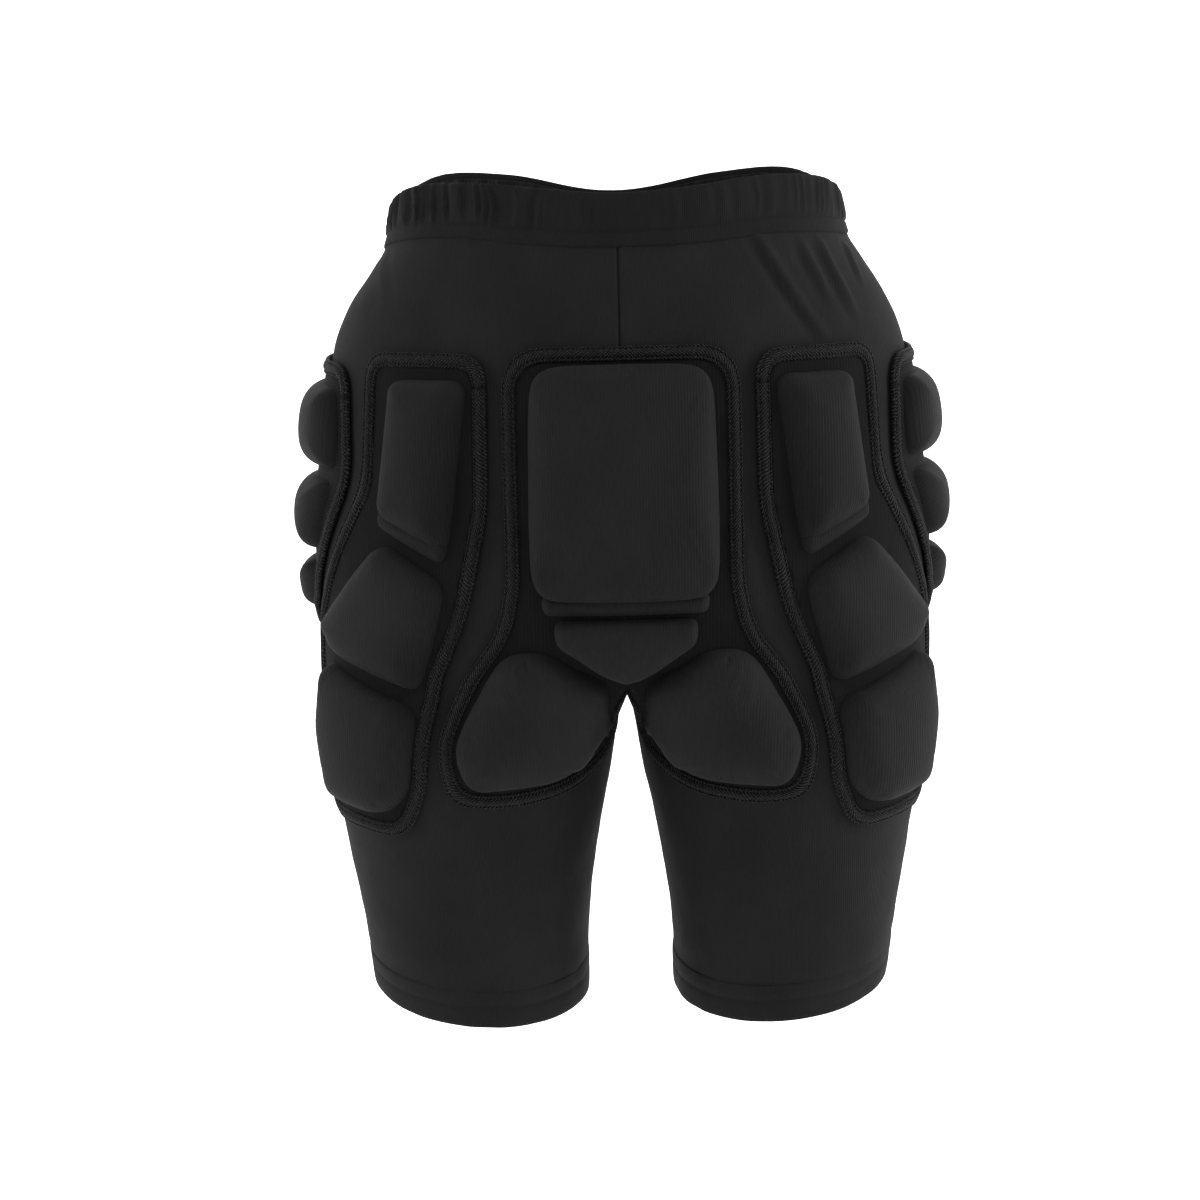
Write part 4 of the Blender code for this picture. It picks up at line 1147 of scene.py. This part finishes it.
SKIN_NODES = ("seat_fabric", "front_fabric", "hip_stretch_band", "leg_fabric")
BENT = ("thigh_upper", "thigh_middle", "thigh_lower", "sit")

def stand_in(piece, slot, *nodes):
    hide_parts(*nodes)


waistband = looped("waistband", *band_ring(BAND_SECTION, True, rear_gathers), BAND_LOOK)
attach(waistband, "pelvis")
stand_in(waistband, "band", "waistband")
elastic = looped("waist_elastic", *band_ring(ELASTIC_SECTION, True, rear_gathers), ELASTIC_LOOK)
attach(elastic, "pelvis")
stand_in(elastic, "elastic", "waist_elastic")

for side, tag in ((1, "_right"), (-1, "_left")):
    skin, gusset = fabric_half(side)
    hem = hem_piece(side)
    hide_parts(*(stem + tag for stem in SKIN_NODES))
    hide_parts("crotch_gusset")
    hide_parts("leg_hem" + tag)
    for piece in (skin, gusset, hem):
        bend(piece)
    thigh_tape = tape("thigh_binding" + tag, THIGH_EDGE, PANEL_RADIUS, True, None, side, 0.55)
    hip_tape = tape("hip_binding" + tag, HIP_EDGE, PANEL_RADIUS, True, None, side, 0.30)
    tail_end = (TAIL_EDGE[-1][0] + TAPE_WIDTH, CROTCH_LEVEL)
    tail_tape = tape("tail_binding" + tag, TAIL_EDGE, TAIL_RADIUS, False, tail_end, side, 0.14)
    stand_in(thigh_tape, "tape", "thigh_binding" + tag)
    stand_in(hip_tape, "tape", "hip_binding" + tag)
    stand_in(tail_tape, "tape", "tail_binding")
    thigh_cut = rounded(THIGH_EDGE, PANEL_RADIUS, PANEL_TUCK)
    hip_cut = rounded(HIP_EDGE, PANEL_RADIUS, PANEL_TUCK)
    thigh_base = panel("thigh_panel" + tag, thigh_cut, side)
    hip_base = panel("hip_panel" + tag, hip_cut, side)
    half = rounded(TAIL_EDGE, TAIL_RADIUS, PANEL_TUCK, False)
    half[-1] = tail_end
    centre = np.stack([np.zeros(30), np.linspace(CROTCH_LEVEL, half[0, 1], 31)[:-1]], 1)
    tail_cut = np.concatenate([half, centre])
    tail_base = panel("tail_panel" + tag, tail_cut, side)
    stand_in(thigh_base, "panel", "thigh_panel" + tag)
    stand_in(hip_base, "panel", "hip_panel" + tag)
    stand_in(tail_base, "panel", "tail_panel")
    for piece in (thigh_tape, tail_tape, thigh_base, tail_base):
        bend(piece)
    for piece in (hip_tape, hip_base):
        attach(piece, "pelvis")
    for name, corners, radius, height, profile, ledges in PADS:
        tilt = sloped(name) if name in INNER_EDGE else None
        made = pad(name + "_pad" + tag, corners, radius, height, profile, side, ledges, tilt)
        stand_in(made, "pad_face", name + "_pad" + tag, name + "_foam" + tag)
        if name in BENT:
            bend(made)
        else:
            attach(made, "pelvis")

for name, corners, radius, height, ledges in (
    ("tailbone", TAIL_PAD, 0.016, 15.5 * MM, (TAIL_LEDGE,)),
    ("coccyx", COCCYX_PAD, 0.008, 13.0 * MM, ()),
):
    made = pad(name + "_pad", corners, radius, height, CRISP, 1, ledges)
    stand_in(made, "pad_face", name + "_pad", name + "_foam")
    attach(made, "pelvis")

# ---- studio ----------------------------------------------------------------------------------
STAGE_HALF = 4.0
FLOOR_LEVEL = -0.80
SWEEP_START = 0.35
FLOOR_GLOW = 0.25


def stage_sheet(name, profile, glow):
    """Wide sheet along X through a (y, z) profile."""
    verts = [(x, y, z) for y, z in profile for x in (-STAGE_HALF, STAGE_HALF)]
    faces = [(2 * i, 2 * i + 1, 2 * i + 3, 2 * i + 2) for i in range(len(profile) - 1)]
    mesh = bpy.data.meshes.new(name)
    mesh.from_pydata(verts, [], faces)
    look, _, shader = plain_look(name + "_paper", (0.8, 0.8, 0.8), 0.9, 0.0)
    shader.inputs["Emission Color"].default_value = (1.0, 1.0, 1.0, 1.0)
    shader.inputs["Emission Strength"].default_value = glow
    mesh.materials.append(look)
    made = bpy.data.objects.new(name, mesh)
    bpy.context.scene.collection.objects.link(made)


def backdrop():
    """Pale floor under the shorts, and a bright sweep behind them that curves up into a wall."""
    turn = np.linspace(0.1, math.pi / 2, 12)
    curve = [(1.0 + 0.8 * math.sin(a), FLOOR_LEVEL + 0.8 * (1 - math.cos(a))) for a in turn]
    stage_sheet("floor", [(-STAGE_HALF, FLOOR_LEVEL), (SWEEP_START, FLOOR_LEVEL)], FLOOR_GLOW)
    stage_sheet("sweep", [(SWEEP_START, FLOOR_LEVEL), (1.0, FLOOR_LEVEL)] + curve + [(1.8, 3.5)], 1.0)


def softbox(name, place_at, aim, width, height, power_watts):
    lamp = bpy.data.lights.new(name, "AREA")
    lamp.shape = "RECTANGLE"
    lamp.size, lamp.size_y = width, height
    lamp.energy = power_watts
    made = bpy.data.objects.new(name, lamp)
    made.location = place_at
    made.rotation_euler = (Vector(aim) - Vector(place_at)).to_track_quat("-Z", "Y").to_euler()
    bpy.context.scene.collection.objects.link(made)


backdrop()
world = bpy.data.worlds.new("studio")
world.use_nodes = True
world.node_tree.nodes["Background"].inputs["Color"].default_value = (1.0, 1.0, 1.0, 1.0)
world.node_tree.nodes["Background"].inputs["Strength"].default_value = 0.38
bpy.context.scene.world = world
AIM = (0.0, 0.0, -0.22)
softbox("left_softbox", (-1.9, -0.35, 0.35), AIM, 0.7, 1.4, 15)
softbox("right_softbox", (1.9, -0.35, 0.35), AIM, 0.7, 1.4, 26)
softbox("top_softbox", (0.0, -0.9, 1.5), AIM, 1.4, 0.6, 8)
bpy.context.scene.view_settings.view_transform = "Standard"

CAMERA_DISTANCE = 1.6
CAMERA_ELEVATION = math.radians(10)
CAMERA_ROLL = math.radians(-1.3)
CAMERA_TARGET = Vector((-0.013, 0.0, -0.228))
lens = bpy.data.cameras.new("camera")
lens.lens, lens.sensor_width = 87.3, 36.0
lens.clip_start, lens.clip_end = 0.05, 50.0
camera = bpy.data.objects.new("camera", lens)
back = Vector((0.0, -math.cos(CAMERA_ELEVATION), math.sin(CAMERA_ELEVATION)))
camera.location = CAMERA_TARGET + back * CAMERA_DISTANCE
facing = (-back).to_track_quat("-Z", "Y").to_matrix()
camera.rotation_euler = (facing @ Matrix.Rotation(CAMERA_ROLL, 3, "Z")).to_euler()
bpy.context.scene.collection.objects.link(camera)
bpy.context.scene.camera = camera
